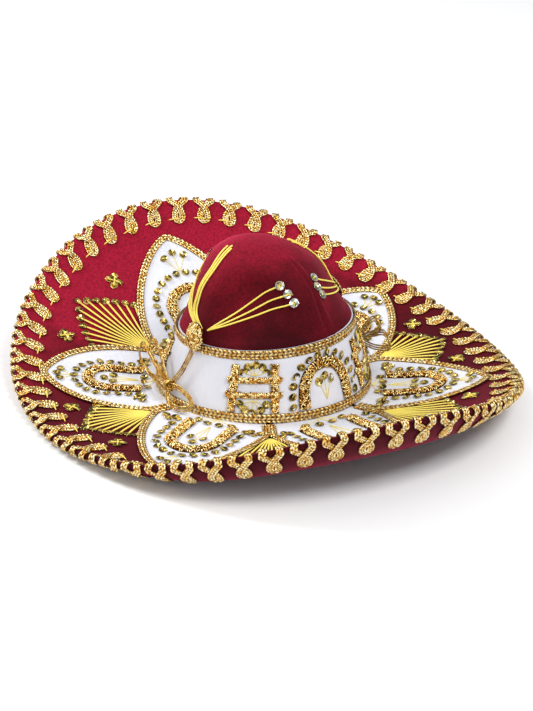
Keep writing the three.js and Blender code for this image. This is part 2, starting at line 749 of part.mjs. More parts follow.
for (let index = 0; index < BOW_ANGLES.length; index += 1) {
  const side = BOW_SIDES[index];
  const angle = BOW_ANGLES[index];
  const medallionAngle = angle + MEDALLION_TURN;
  addPiece(`medallion_${side}`, medallion(medallionAngle), 'gold');
  addPiece(`bow_${side}`, bow(angle), 'gold');
  for (const [group, routes] of Object.entries(THREAD_ROUTES)) {
    addPiece(`threads_${group}_${side}`, crownThreads(medallionAngle, routes), 'thread');
  }
}

export default hat;
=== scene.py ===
import math

import bmesh
import bpy
import numpy as np
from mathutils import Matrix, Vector


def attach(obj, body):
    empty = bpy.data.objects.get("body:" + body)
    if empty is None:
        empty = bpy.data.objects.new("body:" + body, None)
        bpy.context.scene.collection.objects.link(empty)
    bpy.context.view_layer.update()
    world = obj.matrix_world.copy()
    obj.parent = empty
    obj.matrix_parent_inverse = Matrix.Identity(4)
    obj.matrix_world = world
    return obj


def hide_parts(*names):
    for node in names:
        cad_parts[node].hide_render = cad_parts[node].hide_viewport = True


# The looks of a charro sombrero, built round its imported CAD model. The sizes below repeat the
# model's driving dimensions, in millimetres and radians. The hat stands on z = 0, the wearer
# faces -Y, and angles are measured from +X, counterclockwise seen from above.

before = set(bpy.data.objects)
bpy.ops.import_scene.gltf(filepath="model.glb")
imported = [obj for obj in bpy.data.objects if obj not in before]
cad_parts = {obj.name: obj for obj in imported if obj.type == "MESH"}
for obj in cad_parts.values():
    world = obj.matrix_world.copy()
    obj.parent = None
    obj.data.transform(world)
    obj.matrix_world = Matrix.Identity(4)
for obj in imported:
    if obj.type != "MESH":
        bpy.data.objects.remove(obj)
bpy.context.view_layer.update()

MM = 0.001
TURN = 2 * math.pi
DEGREE = math.pi / 180
RANDOM = np.random.default_rng(5)

# Head opening and brim
HEAD_HALF_WIDTH = 93.3
HEAD_HALF_LENGTH = 102.8
RIM_RADIUS = 255.7
RIM_OVAL = 0.0845
RIM_OVAL_AXIS = 30 * DEGREE
ROLL_AXIS = 26 * DEGREE
RIM_MEAN_HEIGHT = 43
RIM_ROLL = 39
RIM_ROLL_SHARPNESS = 4.6
RIM_SIDE_TILT = 8.2
FLAT_SHARE = 0.05
RISE_POWER = 1.6
LIP_HEIGHT = 30
LIP_POWER = 12
LIP_AXIS = 15 * DEGREE
LIP_HALF_ANGLE = 46 * DEGREE
OPENING_INSET = 5
BRIM_COLUMNS = 400
VELVET = 1.0
TOP_VELVET_LOW = 4.1
BRIM_TOP = 5.1

# Crown and band
CROWN_BASE = 5.4
# Each point is a share of the head opening's radius, and a height
CROWN_OUTLINE = [
    (1, CROWN_BASE), (0.91, 36), (0.848, 60), (0.78, 82), (0.73, 102), (0.665, 122), (0.52, 138),
    (0.35, 150), (0.18, 156.5), (0, 158),
]
CROWN_TILT = 0.0009
CROWN_SHIFT = 0.03
SHOULDER = 76
SHOULDER_LEAN = 0.1
SHOULDER_TILT = 0.0027
DENT_FIRST = -6 * DEGREE
DENT_DEPTHS = (18, 9, 18, 9)
DENT_HALF_ANGLE = 31 * DEGREE
DENT_HEIGHT = 120
DENT_ABOVE = 17
DENT_BELOW = 27
SEAM_ANGLE = 51 * DEGREE
CREASE_DEPTH = 1.0
CREASE_WIDTH = 1.8
WELT_HEIGHT = 1.1
WELT_PLACE = 6
WELT_WIDTH = 3.5
BOARD_INSET = 1.3
BOARD = 2.0
BOARD_CLIMBS = {"crown_side_board": (0, 0.397), "crown_tip_board": (0.403, 1)}
LINING_INSET = 3.6
LINING = 0.8
SWEATBAND = 1.2
SWEATBAND_LOW = 1
SWEATBAND_TOP = 34
SWEATBAND_SEAM = 0.93, 31.7    # the share of the way up, and the height
SWEATBAND_INSET = 5.6
SWEATBAND_LEAN = 10
BAND_LOW = 7.4
BAND_TOP = 75
BAND_TAPER = 0.198
BAND_THICKNESS = 1.2
BAND_RADIUS = 92

# Needlework
BRAID_RIDGES = 3
BRAID_STEP = 0.45
CORD_STRANDS = 3
PURL_SPACING = 1.9
TRIM_THICKNESS = 2.4
BAND_TRIM_WIDTH = 9.6
BAND_TRIM_PITCH = 4.4
PETAL_TRIM_WIDTH = 7.8
PETAL_TRIM_PITCH = 4.6

# Raised work on the band
WORK_LOW = 19
WORK_HIGH = 62
WORK_WIDTH = 7.5
WORK_HEIGHT = 3.2
LADDER_ANGLES = np.array([-5, 175, 84, 264]) * DEGREE
LADDER_HALF_WIDTH = 13 * DEGREE * BAND_RADIUS
RUNG_HALF_WIDTH = 17 * DEGREE * BAND_RADIUS
RUNG_WIDTH = 5.5
RUNG_OFFSET = 7
ARCH_ANGLES = np.array([41, 221]) * DEGREE
ARCH_HALF_WIDTH = 15 * DEGREE * BAND_RADIUS
ARCH_WIDTH = 12
ARCH_TOP = WORK_HIGH - 6
ARCH_SEQUIN_OFFSET = 11.5

# Petals, thread fans and flowers
PETAL_AXES = np.array([33, 86, 147, 207, 272, 336]) * DEGREE
PETAL_SEAM = 1.5 * DEGREE
PETAL_START = 0.008
PETAL_SHOULDER = 0.19
PETAL_TIP = 0.81
PETAL_LOW = 5.5
PETAL_TOP = 6.9
FAN_APEX = 0.2
FAN_SIDE = 0.52
FAN_FAR = 0.75
FAN_HALF_ANGLE = 13 * DEGREE
FAN_PAIRS = 13
FLOWER_TURN = 13.3 * DEGREE
FLOWER_SHARE = 0.7
FLOWER_RADIUS = 5.2
SCROLL_WIDTH = 12
SCROLL_HEIGHT = 4.2

# Rim braid, laced over the edge
LOOPS = 57
# Each point is a run along the rim, a distance in from it, and a lift off the velvet
LOOP_ROUTE = [
    (-8.4, 1.0, 0.2), (-4.4, 4.4, 0.2), (-0.6, 8.6, 0.2), (2.4, 13, 0.2), (3.9, 17.6, 0.2),
    (4.1, 21.4, 0.2), (2.9, 24.8, 0.2), (0, 26.2, 0.2), (-2.9, 24.8, 0.2), (-4.1, 21.4, 0.2),
    (-3.9, 17.6, 0.3), (-2.4, 13, 0.9), (0.6, 8.6, 1.8), (4.4, 4.4, 1.0), (8.4, 1.0, 0.3),
]
LOOP_TIP = 26
LOOP_LEAN = 0.17
EDGE_REACH = 2.2
BRAID_WIDTH = 7.2
BRAID_THICKNESS = 2.2
BRAID_PITCH = 2.8

# Cord ornaments
BOW_ANGLES = {"front": -60 * DEGREE, "back": 120 * DEGREE}
MEDALLION_TURN = 10 * DEGREE
MEDALLION_HEIGHT = 82
MEDALLION_OFFSET = 7
MEDALLION_HALF_WIDTH = 12
MEDALLION_HALF_HEIGHT = 14
MEDALLION_BULGE = 3.6
MEDALLION_CHIPS = 230
BOW_CORD_OFFSETS = (-2.3, 0.0, 2.3)
BOW_CORD_RADIUS = 0.75
# Each point is in degrees round the hat, a height, and a distance out from the band
BOW_KNOT = (0, 28, 9)
BOW_ROUTES = [
    [BOW_KNOT, (-14, 42, 17), (-26, 52, 26), (-31, 47, 30), (-27, 38, 27), (-14, 29, 16), BOW_KNOT],
    [BOW_KNOT, (-12, 50, 14), (-20, 62, 20), (-24, 60, 24), (-22, 52, 22), (-12, 40, 14), BOW_KNOT],
    [BOW_KNOT, (9, 30, 9), (18, 24, 9), (19, 16, 11), (12, 13, 13), (4, 17, 12), BOW_KNOT],
    [BOW_KNOT, (6, 46, 8), (10, 69, 8)],
]
# Each point is in degrees round the hat, and a share of the way up the crown
THREAD_ROUTES = {
    "sweep": [[(5, 0.36), (72, 0.61)], [(5, 0.36), (77, 0.56)], [(5, 0.36), (80, 0.515)]],
    "ridge": [
        [(0, 0.36), (-12, 0.43), (-11, 0.51), (-7, 0.66), (-13, 0.82)],
        [(0, 0.36), (-9, 0.43), (-8, 0.51), (-4, 0.66), (-7, 0.8)],
        [(0, 0.36), (-14, 0.43), (-13, 0.51), (-10, 0.66), (-20, 0.8)],
    ],
    "return": [[(-5, 0.36), (-69, 0.61)], [(-5, 0.36), (-72, 0.56)], [(-5, 0.36), (-70, 0.51)]],
}
THREAD_LIFT = 1.3

# Studio, in metres and watts
CAMERA_DISTANCE = 2.6
CAMERA_ELEVATION = 24.7 * DEGREE
CAMERA_TURN = 1.5 * DEGREE
LIGHTS = {
    "key": ((1.2, 1.1, 2.0), 0.9, 40),
    "fill": ((1.8, -1.2, 1.0), 1.6, 10),
    "rim": ((-0.7, -1.6, 1.7), 0.8, 34),
}


# ---- Vectors and curves ----

def unit(vectors):
    return vectors / np.maximum(np.linalg.norm(vectors, axis=-1, keepdims=True), 1e-9)


def stack(*parts):
    return np.stack(np.broadcast_arrays(*parts), axis=-1)


def spline(controls, per_span):
    """A Catmull-Rom curve through the controls, with the same number of points in each span."""
    known = np.asarray(controls, float)
    padded = np.concatenate([known[:1], known, known[-1:]])
    before, start, end, after = padded[:-3], padded[1:-2], padded[2:-1], padded[3:]
    t = (np.arange(per_span) / per_span)[None, :, None]
    before, start, end, after = (part[:, None] for part in (before, start, end, after))
    curve = 0.5 * (
        2 * start
        + (end - before) * t
        + (2 * before - 5 * start + 4 * end - after) * t**2
        + (3 * start - before - 3 * end + after) * t**3
    )
    return np.concatenate([curve.reshape(-1, known.shape[1]), known[-1:]])


def evenly(values, points, step):
    """The rows of values again, taken an even distance apart along the points."""
    run = np.concatenate([[0], np.cumsum(np.linalg.norm(np.diff(points, axis=0), axis=1))])
    count = max(3, int(round(run[-1] / step)) + 1)
    places = np.linspace(0, run[-1], count)
    return np.stack([np.interp(places, run, column) for column in values.T], axis=1)


# ---- Surfaces of the hat, in millimetres ----

def head_radius(angle):
    across = HEAD_HALF_LENGTH * np.cos(angle)
    along = HEAD_HALF_WIDTH * np.sin(angle)
    return HEAD_HALF_WIDTH * HEAD_HALF_LENGTH / np.hypot(across, along)


def wrapped(angle):
    return np.arctan2(np.sin(angle), np.cos(angle))


def rim_radius(angle):
    return RIM_RADIUS * (1 + RIM_OVAL * np.cos(2 * (angle - RIM_OVAL_AXIS)))


def rim_height(angle):
    roll = RIM_ROLL * np.cos(2 * (angle - ROLL_AXIS))
    sharpness = RIM_ROLL_SHARPNESS * np.cos(4 * (angle - ROLL_AXIS))
    return RIM_MEAN_HEIGHT + roll + sharpness - RIM_SIDE_TILT * np.cos(angle)


def brim_base(angle, share):
    """A point of the brim's lower face, from 0 at the head opening to 1 at the rim."""
    radius = head_radius(angle) + (rim_radius(angle) - head_radius(angle)) * share
    climb = np.maximum(0, (share - FLAT_SHARE) / (1 - FLAT_SHARE))
    lip = LIP_HEIGHT * np.exp(-((wrapped(angle - LIP_AXIS) / LIP_HALF_ANGLE) ** 4))
    height = (rim_height(angle) - lip) * climb**RISE_POWER + lip * climb**LIP_POWER
    return stack(radius * np.cos(angle), radius * np.sin(angle), height)


def brim_point(angle, share, height):
    step = 0.002
    along = brim_base(angle + step, share) - brim_base(angle - step, share)
    outward = brim_base(angle, share + step) - brim_base(angle, share - step)
    normal = unit(np.cross(outward, along))
    flat = (np.asarray(share) <= FLAT_SHARE)[..., None]
    normal = np.where(flat, np.array([0.0, 0.0, 1.0]), normal)
    return brim_base(angle, share) + normal * np.asarray(height)[..., None]


def brim_place(x, y):
    """The angle, and the share of the brim's width, of a place given in plan."""
    angle = np.arctan2(y, x)
    inner = head_radius(angle)
    return angle, (np.hypot(x, y) - inner) / (rim_radius(angle) - inner)


def brim_at(x, y, height):
    """A point above the brim, at a place given in plan."""
    return brim_point(*brim_place(x, y), height)


def plan_at(angle, share):
    """A place in plan, from its angle and its share of the brim's width."""
    radius = head_radius(angle) + (rim_radius(angle) - head_radius(angle)) * np.asarray(share)
    return stack(radius * np.cos(angle), radius * np.sin(angle))


def tilt(x, y, z):
    """The crown and all that is on it sits a little askew, as in the CAD model."""
    above = np.maximum(0, z - SHOULDER)
    shift = CROWN_SHIFT * (z - CROWN_BASE) - SHOULDER_LEAN * above
    slope = CROWN_TILT * (z - CROWN_BASE) - SHOULDER_TILT * above
    return stack(x, y + shift, z + slope * y)


OUTLINE = spline(CROWN_OUTLINE, 100)
OUTLINE_CLIMB = np.linspace(0, 1, len(OUTLINE))


def dent(angle, height):
    """How deep the dents of the crown's sides are, with crisp upper edges."""
    above = (height - DENT_HEIGHT) / np.where(height > DENT_HEIGHT, DENT_ABOVE, DENT_BELOW)
    depth = 0
    for index, deepest in enumerate(DENT_DEPTHS):
        centre = DENT_FIRST + index * TURN / len(DENT_DEPTHS)
        away = np.abs(wrapped(angle - centre)) / DENT_HALF_ANGLE
        depth = depth + deepest * np.exp(-(away**3) - above * above)
    return depth


def crown_base(angle, climb):
    """A point of the crown's outer face, from 0 at its base to 1 at its top."""
    scale = np.interp(climb, OUTLINE_CLIMB, OUTLINE[:, 0])
    height = np.interp(climb, OUTLINE_CLIMB, OUTLINE[:, 1])
    radius = np.maximum(0, scale) * head_radius(angle)
    radius = np.maximum(radius * 0.35, radius - dent(angle, height))
    return tilt(radius * np.cos(angle), radius * np.sin(angle), height)


def crown_point(angle, climb, height):
    sampled = np.clip(climb, 0.01, 0.99)
    along = crown_base(angle + 0.004, sampled) - crown_base(angle - 0.004, sampled)
    upward = crown_base(angle, sampled + 0.004) - crown_base(angle, sampled - 0.004)
    normal = unit(np.cross(along, upward))
    return crown_base(angle, climb) + normal * np.asarray(height)[..., None]


def band_point(angle, z, offset):
    share = (z - BAND_LOW) / (BAND_TOP - BAND_LOW)
    radius = head_radius(angle) * (1 - BAND_TAPER * share) + 1 + offset
    return tilt(radius * np.cos(angle), radius * np.sin(angle), z)


def band_at(along, z, offset):
    """A point of the band, with millimetres round it in place of an angle."""
    return band_point(along / BAND_RADIUS, z, offset)


def lay(surface, path, lift):
    """The points of a path laid at a height over a surface, and the way up there."""
    places = np.moveaxis(path, -1, 0)
    points = surface(*places, lift)
    return points, unit(surface(*places, lift + 1) - points)


# ---- Meshes ----

class Part:
    """Points in millimetres, arrays of faces, and a value from 0, deep, to 1, proud, that the gold looks
    turn into painted shade.
    """

    def __init__(self, points, faces, groove_shade=1.0):
        self.points = np.asarray(points, float).reshape(-1, 3)
        self.faces = faces
        self.groove_shade = np.broadcast_to(np.asarray(groove_shade, float).reshape(-1), len(self.points))


def build(name, parts, slot, nodes=(), merge=False, look=None):
    """One piece of the hat from its parts. It stands for the CAD nodes named, and it looks like
    its slot's material unless another look is named."""
    start = 0
    loops, sizes = [], []
    for part in parts:
        for faces in part.faces:
            loops.append((faces + start).ravel())
            sizes.append(np.full(len(faces), faces.shape[1]))
        start += len(part.points)
    loops, sizes = np.concatenate(loops), np.concatenate(sizes)
    mesh = bpy.data.meshes.new(name)
    mesh.vertices.add(start)
    mesh.vertices.foreach_set("co", (np.concatenate([p.points for p in parts]) * MM).ravel())
    mesh.loops.add(len(loops))
    mesh.loops.foreach_set("vertex_index", loops)
    mesh.polygons.add(len(sizes))
    mesh.polygons.foreach_set("loop_start", np.concatenate([[0], np.cumsum(sizes)[:-1]]))
    mesh.update(calc_edges=True)
    groove_shade = mesh.attributes.new("groove_shade", "FLOAT", "POINT")
    groove_shade.data.foreach_set("value", np.concatenate([p.groove_shade for p in parts]).astype(np.float32))
    if merge:
        merge_points(mesh)
    mesh.validate()
    mesh.shade_smooth()
    piece = bpy.data.objects.new(name, mesh)
    bpy.context.scene.collection.objects.link(piece)
    mesh.materials.append(LOOKS[look or slot])
    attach(piece, "root")
    if nodes:
        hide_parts(*nodes)
    return piece


def merge_points(mesh):
    whole = bmesh.new()
    whole.from_mesh(mesh)
    bmesh.ops.remove_doubles(whole, verts=whole.verts, dist=1e-6)
    whole.to_mesh(mesh)
    whole.free()


def outward(points, faces):
    """The faces, turned round if they enclose a negative volume."""
    volume = 0.0
    for quads in faces:
        corners = points[quads]
        for index in range(1, quads.shape[1] - 1):
            cross = np.cross(corners[:, index], corners[:, index + 1])
            volume += np.einsum("ij,ij->", corners[:, 0], cross)
    return faces if volume > 0 else [quads[:, ::-1] for quads in faces]


def thin_body(upper, lower, ring):
    """A closed thin body between two grids of points. A ring closes on itself along its rows."""
    rows, columns = upper.shape[:2]
    index = np.arange(rows * columns).reshape(rows, columns)
    over = np.concatenate([index, index[:, :1]], axis=1) if ring else index
    under = over + rows * columns
    faces = [quads_of(over), quads_of(under)[:, ::-1]]
    faces += [quads_of(np.stack([under[0], over[0]])), quads_of(np.stack([over[-1], under[-1]]))]
    if not ring:
        faces.append(quads_of(np.stack([over[:, 0], under[:, 0]])))
        faces.append(quads_of(np.stack([under[:, -1], over[:, -1]])))
    points = np.concatenate([upper.reshape(-1, 3), lower.reshape(-1, 3)])
    return Part(points, outward(points, faces))


def quads_of(grid):
    corners = [grid[:-1, :-1], grid[1:, :-1], grid[1:, 1:], grid[:-1, 1:]]
    return np.stack([corner.ravel() for corner in corners], axis=1)


def sweep(paths, ups, section, groove_shade=1.0):
    """Closed bodies made by moving a section along paths. The paths are (bodies, steps, 3), and
    the section's corners go counterclockwise as (sideways, up), the same or one for each step."""
    tangents = unit(np.gradient(paths, axis=1))
    sides = unit(np.cross(ups, tangents))
    ups = np.cross(tangents, sides)
    section = np.broadcast_to(section, (*paths.shape[:2], *section.shape[-2:]))
    sideways = sides[:, :, None] * section[..., :1]
    corners = paths[:, :, None] + sideways + ups[:, :, None] * section[..., 1:]
    bodies, steps, count = corners.shape[:3]
    index = np.arange(bodies * steps * count).reshape(bodies, steps, count)
    after = np.roll(index, -1, axis=2)
    quads = np.stack([index[:, :-1], after[:, :-1], after[:, 1:], index[:, 1:]], axis=-1)
    caps = np.concatenate([index[:, 0, ::-1], index[:, -1]])
    groove_shade = np.broadcast_to(groove_shade, (bodies, steps, count))
    return Part(corners, [quads.reshape(-1, 4), caps], groove_shade)


def circle(radius, sides):
    turns = np.arange(sides) * TURN / sides
    return radius * np.stack([np.cos(turns), np.sin(turns)], axis=1)


def tubes(paths, ups, radius, sides=6, taper=False):
    """Round threads along paths, pointed at both ends where they taper."""
    section = circle(radius, sides)
    if taper:
        share = np.linspace(-1, 1, paths.shape[1])
        thin = np.sqrt(np.maximum(0.02, 1 - share**6))
        section = section[None] * thin[:, None, None]
    return sweep(paths, np.broadcast_to(ups, paths.shape), section)


def braid(points, ups, width, thickness, pitch):
    """A flat plaited ribbon: ridges along it, and strands that slant across each ridge."""
    across = np.linspace(1, -1, 4 * BRAID_RIDGES + 1)
    run = np.arange(len(points))[:, None] * BRAID_STEP
    in_ridge = (across + 1) * BRAID_RIDGES / 2
    bulge = np.sqrt(np.maximum(0, 1 - 0.9 * (2 * (in_ridge % 1.0) - 1) ** 2))
    slant = np.abs((in_ridge + 1) % 2 - 1)
    strand = 0.5 + 0.5 * np.cos(TURN * (run / pitch + 0.6 * slant))
    proud = bulge * (0.3 + 0.7 * strand)
    section = np.zeros((len(points), len(across) + 2, 2))
    section[:, 1:-1, 0] = across * width / 2
    section[:, 1:-1, 1] = thickness * (0.42 + 0.58 * proud)
    section[:, 0, 0] = 0.94 * width / 2
    section[:, -1, 0] = -0.94 * width / 2
    # The value for painted shade: 0.4 at the ribbon's edges, lowest between ridges and between strands.
    groove_shade = np.full((len(points), len(across) + 2), 0.4)
    groove_shade[:, 1:-1] = proud
    return sweep(points[None], ups[None], section[None], groove_shade[None])


def twisted(points, ups, radius, pitch=3.4):
    """A cord of several strands twisted together."""
    sides = 4 * CORD_STRANDS
    turns = np.arange(sides) * TURN / sides
    run = np.arange(len(points))[:, None] * BRAID_STEP
    wave = np.cos(CORD_STRANDS * (turns - TURN * run / pitch))
    reach = radius * (1 + 0.16 * wave)
    section = np.stack([reach * np.cos(turns), reach * np.sin(turns)], axis=-1)
    # The last value gives painted shade in the hollows between strands wherever a gold look is used.
    return sweep(points[None], ups[None], section[None], (0.5 + 0.5 * wave)[None])


def lathe(profile, segments):
    """A ring turned about the Z axis from a closed profile of (radius, height)."""
    turns = np.arange(segments)[:, None] * TURN / segments
    radius, height = np.asarray(profile, float).T
    points = stack(radius * np.cos(turns), radius * np.sin(turns), height + 0 * turns)
    index = np.arange(points.size // 3).reshape(segments, -1)
    after = np.roll(index, -1, axis=1)
    around = np.roll(index, -1, axis=0)
    quads = np.stack([index, after, np.roll(after, -1, axis=0), around], axis=-1)
    points = points.reshape(-1, 3)
    return Part(points, outward(points, [quads.reshape(-1, 4)]))


def copies(base, origins, ups, forwards):
    """Copies of a small part, each standing on its origin along its own way up."""
    sides = unit(np.cross(forwards, ups))
    forwards = np.cross(ups, sides)
    x, y, z = (base.points[None, :, axis, None] for axis in range(3))
    points = origins[:, None] + x * sides[:, None] + y * forwards[:, None] + z * ups[:, None]
    starts = np.arange(len(origins))[:, None, None] * len(base.points)
    faces = [(quads[None] + starts).reshape(-1, quads.shape[1]) for quads in base.faces]
    return Part(points, faces, np.tile(base.groove_shade, len(origins)))


# ---- Needlework ----

SEQUIN = lathe(
    [
        (0.7, 0.15), (2.5, 0.3), (3.8, 1.1), (4.1, 1.2),
        (4.15, 1.05), (3.8, 0.8), (2.5, 0.08), (0.7, -0.05),
    ],
    14,
)


def sequins(surface, spots, lift=0.5, size=1.0):
    """Cupped sequins that lie a little unevenly on a surface, and the stitch that holds each."""
    spots = np.asarray(spots, float)
    points, ups = lay(surface, spots, lift)
    leaning = unit(ups + RANDOM.normal(0, 0.13, ups.shape))
    forwards = unit(np.cross(ups, RANDOM.normal(0, 1, ups.shape)))
    base = Part(SEQUIN.points * size, SEQUIN.faces)
    discs = copies(base, points, leaning, forwards)
    return discs, stitches(points + ups * 0.35, ups, forwards, 4.3 * size)


def stitches(points, ups, forwards, length):
    """Short arched stitches that start at points."""
    share = np.linspace(0, 1, 6)[None, :, None]
    rise = np.sin(share * math.pi) * 0.9
    paths = points[:, None] + forwards[:, None] * length * share + ups[:, None] * rise
    return tubes(paths, np.cross(forwards, ups)[:, None], 0.34, 5)


def threads(surface, starts, ends, lift, radius, sag=0.0):
    """Threads laid from starts to ends over a surface, drawn down towards it in the middle."""
    share = np.linspace(0, 1, 14)[None, :, None]
    starts, ends = np.broadcast_arrays(np.asarray(starts, float), np.asarray(ends, float))
    paths = starts[:, None] * (1 - share) + ends[:, None] * share
    points, ups = lay(surface, paths, lift)
    points = points + ups * sag * (2 * share - 1) ** 4
    return tubes(points, ups, radius, taper=True)


def bullion(surface, path, width, height, lift):
    """Raised work: a padded strip covered with short cut lengths of gold purl."""
    path = evenly(path, surface(*path.T, lift), 1.0)
    points, ups = lay(surface, path, lift)
    # The pad gets the deepest value, so the gold look paints it as shade between the purl.
    pad = sweep(points[None], ups[None], dome_section(width * 0.92, height * 0.72), 0.0)
    run = evenly(path, points, PURL_SPACING)
    middle, ups = lay(surface, run, lift)
    tangents = unit(np.gradient(middle, axis=0))
    sides = unit(np.cross(ups, tangents))
    rows = []
    for place in (-0.72, -0.25, 0.25, 0.72):
        across = (place + RANDOM.uniform(-0.12, 0.12, len(run)))[:, None]
        level = height * np.sqrt(np.maximum(0, 1 - across**2))
        origin = middle + sides * across * width / 2 + ups * (level - 0.55)
        away = unit(ups + sides * across * 0.9)
        turn = (RANDOM.uniform(-1.1, 1.1, len(run)))[:, None]
        heading = unit(np.cos(turn) * np.cross(tangents, away) + np.sin(turn) * tangents)
        rows.append(chips(origin, away, heading))
    return [pad, *rows]


def dome_section(width, height):
    turns = np.linspace(0, math.pi, 9)
    return np.stack([np.cos(turns) * width / 2, np.sin(turns) * height], axis=1)


def chips(origins, ups, headings, length=3.6, radius=0.7):
    """Short arched lengths of purl."""
    share = np.linspace(-1, 1, 6)[None, :, None]
    lengths = (length * RANDOM.uniform(0.8, 1.15, len(origins)))[:, None, None]
    paths = origins[:, None] + headings[:, None] * share * lengths / 2
    paths = paths + ups[:, None] * (0.45 - 0.75 * share**2)
    return tubes(paths, np.cross(headings, ups)[:, None], radius, 6)


# ---- Materials ----

class Shading:
    """A material's nodes: a Principled shader, and the few textures that the hat needs."""

    def __init__(self, name, roughness, metallic=0.0, **constants):
        self.material = bpy.data.materials.new(name)
        self.material.use_nodes = True
        self.nodes = self.material.node_tree.nodes
        self.links = self.material.node_tree.links
        self.shader = self.nodes["Principled BSDF"]
        self.shader.inputs["Roughness"].default_value = roughness
        self.shader.inputs["Metallic"].default_value = metallic
        for socket, value in constants.items():
            self.shader.inputs[socket.replace("_", " ")].default_value = value
        self.place = self.nodes.new("ShaderNodeTexCoord").outputs["Object"]

    def node(self, kind, **values):
        """A new node, with each value linked to its input, or put there if it is a constant."""
        made = self.nodes.new("ShaderNode" + kind)
        for name, value in values.items():
            socket = made.inputs[name.replace("_", " ")]
            if isinstance(value, bpy.types.NodeSocket):
                self.links.new(value, socket)
            else:
                socket.default_value = value
        return made

    def noise(self, scale, detail=4.0, distortion=0.0, stretch=None):
        place = self.place
        if stretch is not None:
            place = self.node("Mapping", Vector=place, Scale=stretch).outputs["Vector"]
        made = self.node("TexNoise", Vector=place, Scale=scale, Detail=detail, Distortion=distortion)
        return made.outputs["Fac"]

    def cells(self, scale):
        return self.node("TexVoronoi", Vector=self.place, Scale=scale).outputs

    def weave(self, scale, direction):
        made = self.node("TexWave", Vector=self.place, Scale=scale, Distortion=0.6)
        made.bands_direction = direction
        return made.outputs["Fac"]

    def glints(self, scale):
        """A value for each small cell, as of metal threads that catch the light one by one."""
        return self.node("SeparateColor", Color=self.cells(scale)["Color"]).outputs["Red"]

    def along(self, direction):
        """How far a place lies in a direction, in metres times the direction's length."""
        made = self.node("VectorMath", Vector=self.place)
        made.operation = "DOT_PRODUCT"
        made.inputs[1].default_value = direction
        return made.outputs["Value"]

    def groove_shade(self):
        # The depth value that the gold looks paint as shade.
        made = self.node("Attribute")
        made.attribute_name = "groove_shade"
        return made.outputs["Fac"]

    def ramp(self, factor, stops):
        made = self.node("ValToRGB", Fac=factor)
        elements = made.color_ramp.elements
        for index, (position, colour) in enumerate(stops):
            element = elements[index] if index < 2 else elements.new(position)
            element.position = position
            element.color = (*colour, 1)
        return made.outputs["Color"]

    def maths(self, operation, first, second):
        made = self.node("Math")
        made.operation = operation
        self.links.new(first, made.inputs[0])
        if isinstance(second, bpy.types.NodeSocket):
            self.links.new(second, made.inputs[1])
        else:
            made.inputs[1].default_value = second
        return made.outputs["Value"]

    def multiplied(self, first, second):
        made = self.node("Mix")
        made.data_type = "RGBA"
        made.blend_type = "MULTIPLY"
        made.inputs[0].default_value = 1.0
        self.links.new(first, made.inputs[6])
        self.links.new(second, made.inputs[7])
        return made.outputs[2]

    def colour(self, source):
        self.links.new(source, self.shader.inputs["Base Color"])

    def mottle(self, scale, detail, dark, light, spread=0.2):
        """The colour, in cloudy patches of two shades."""
        stops = [(0.5 - spread, dark), (0.5 + spread, light)]
        self.colour(self.ramp(self.noise(scale, detail), stops))

    def roughness(self, factor, low, high):
        made = self.node("MapRange", Value=factor, To_Min=low, To_Max=high)
        self.links.new(made.outputs["Result"], self.shader.inputs["Roughness"])

    def bump(self, height, distance, strength=1.0):
        made = self.node("Bump", Height=height, Strength=strength, Distance=distance)
        self.links.new(made.outputs["Normal"], self.shader.inputs["Normal"])


def velvet_material():
    """Crushed velvet in cloudy patches, with painted light: lighter upwards and towards -X and -Y."""
    look = Shading(
        "velvet", 0.8, Sheen_Weight=0.6, Sheen_Roughness=0.35, Sheen_Tint=(1.0, 0.09, 0.19, 1),
        Specular_IOR_Level=0.1,
    )
    patches = look.maths("MULTIPLY", look.noise(13, 6, 0.8), 0.9)
    # Painted light: a slope across the hat, lighter upwards and towards -X and -Y, with the random
    # patches added.
    painted_light_and_patches = look.maths("ADD", look.along((-2.2, -1.2, 3.0)), patches)
    nap = look.noise(420, 3, 0.3)
    # The ramp runs from a painted-shade dark red to a painted-highlight light red.
    base = look.ramp(
        look.maths("MULTIPLY", painted_light_and_patches, 0.8),
        [(0.36, (0.045, 0.001, 0.0035)), (0.58, (0.12, 0.0025, 0.008)), (0.84, (0.33, 0.007, 0.028))],
    )
    fine = look.ramp(nap, [(0.3, (0.6, 0.6, 0.6)), (0.72, (1.25, 1.25, 1.25))])
    look.colour(look.multiplied(base, fine))
    look.roughness(nap, 0.65, 0.95)
    look.bump(look.noise(1500, 2), 0.0006, 0.5)
    return look.material


def gold_material(name, shade, scale, roughness=0.27):
    """Metal thread with painted glints, each small cell a dark, a middle or a bright gold, and painted
    shade in its grooves.
    """
    look = Shading(name, roughness, 1.0)
    dark, mid, bright = shade
    # Painted glints: each small cell takes a dark, a middle or a bright gold, as threads that catch the
    # light.
    gold = look.ramp(look.glints(scale), [(0.1, dark), (0.4, mid), (0.75, bright)])
    # Painted shade: the deep places, where the value is low, are darkened to near black.
    proud = look.ramp(look.groove_shade(), [(0.15, (0.08, 0.03, 0.01)), (0.6, (1, 1, 1))])
    look.colour(look.multiplied(gold, proud))
    look.roughness(look.noise(900, 3), roughness - 0.07, roughness + 0.16)
    look.bump(look.noise(2600, 2), 0.0003, 0.8)
    return look.material


def thread_material():
    look = Shading("yellow_floss", 0.42, 0.0, Sheen_Weight=0.3, Sheen_Tint=(1, 0.9, 0.5, 1))
    fibre = look.noise(1400, 3, 0.0, (1.0, 1.0, 0.35))
    look.colour(look.ramp(fibre, [(0.3, (0.90, 0.62, 0.04)), (0.62, (1.0, 0.86, 0.16))]))
    look.bump(fibre, 0.0003, 0.7)
    return look.material


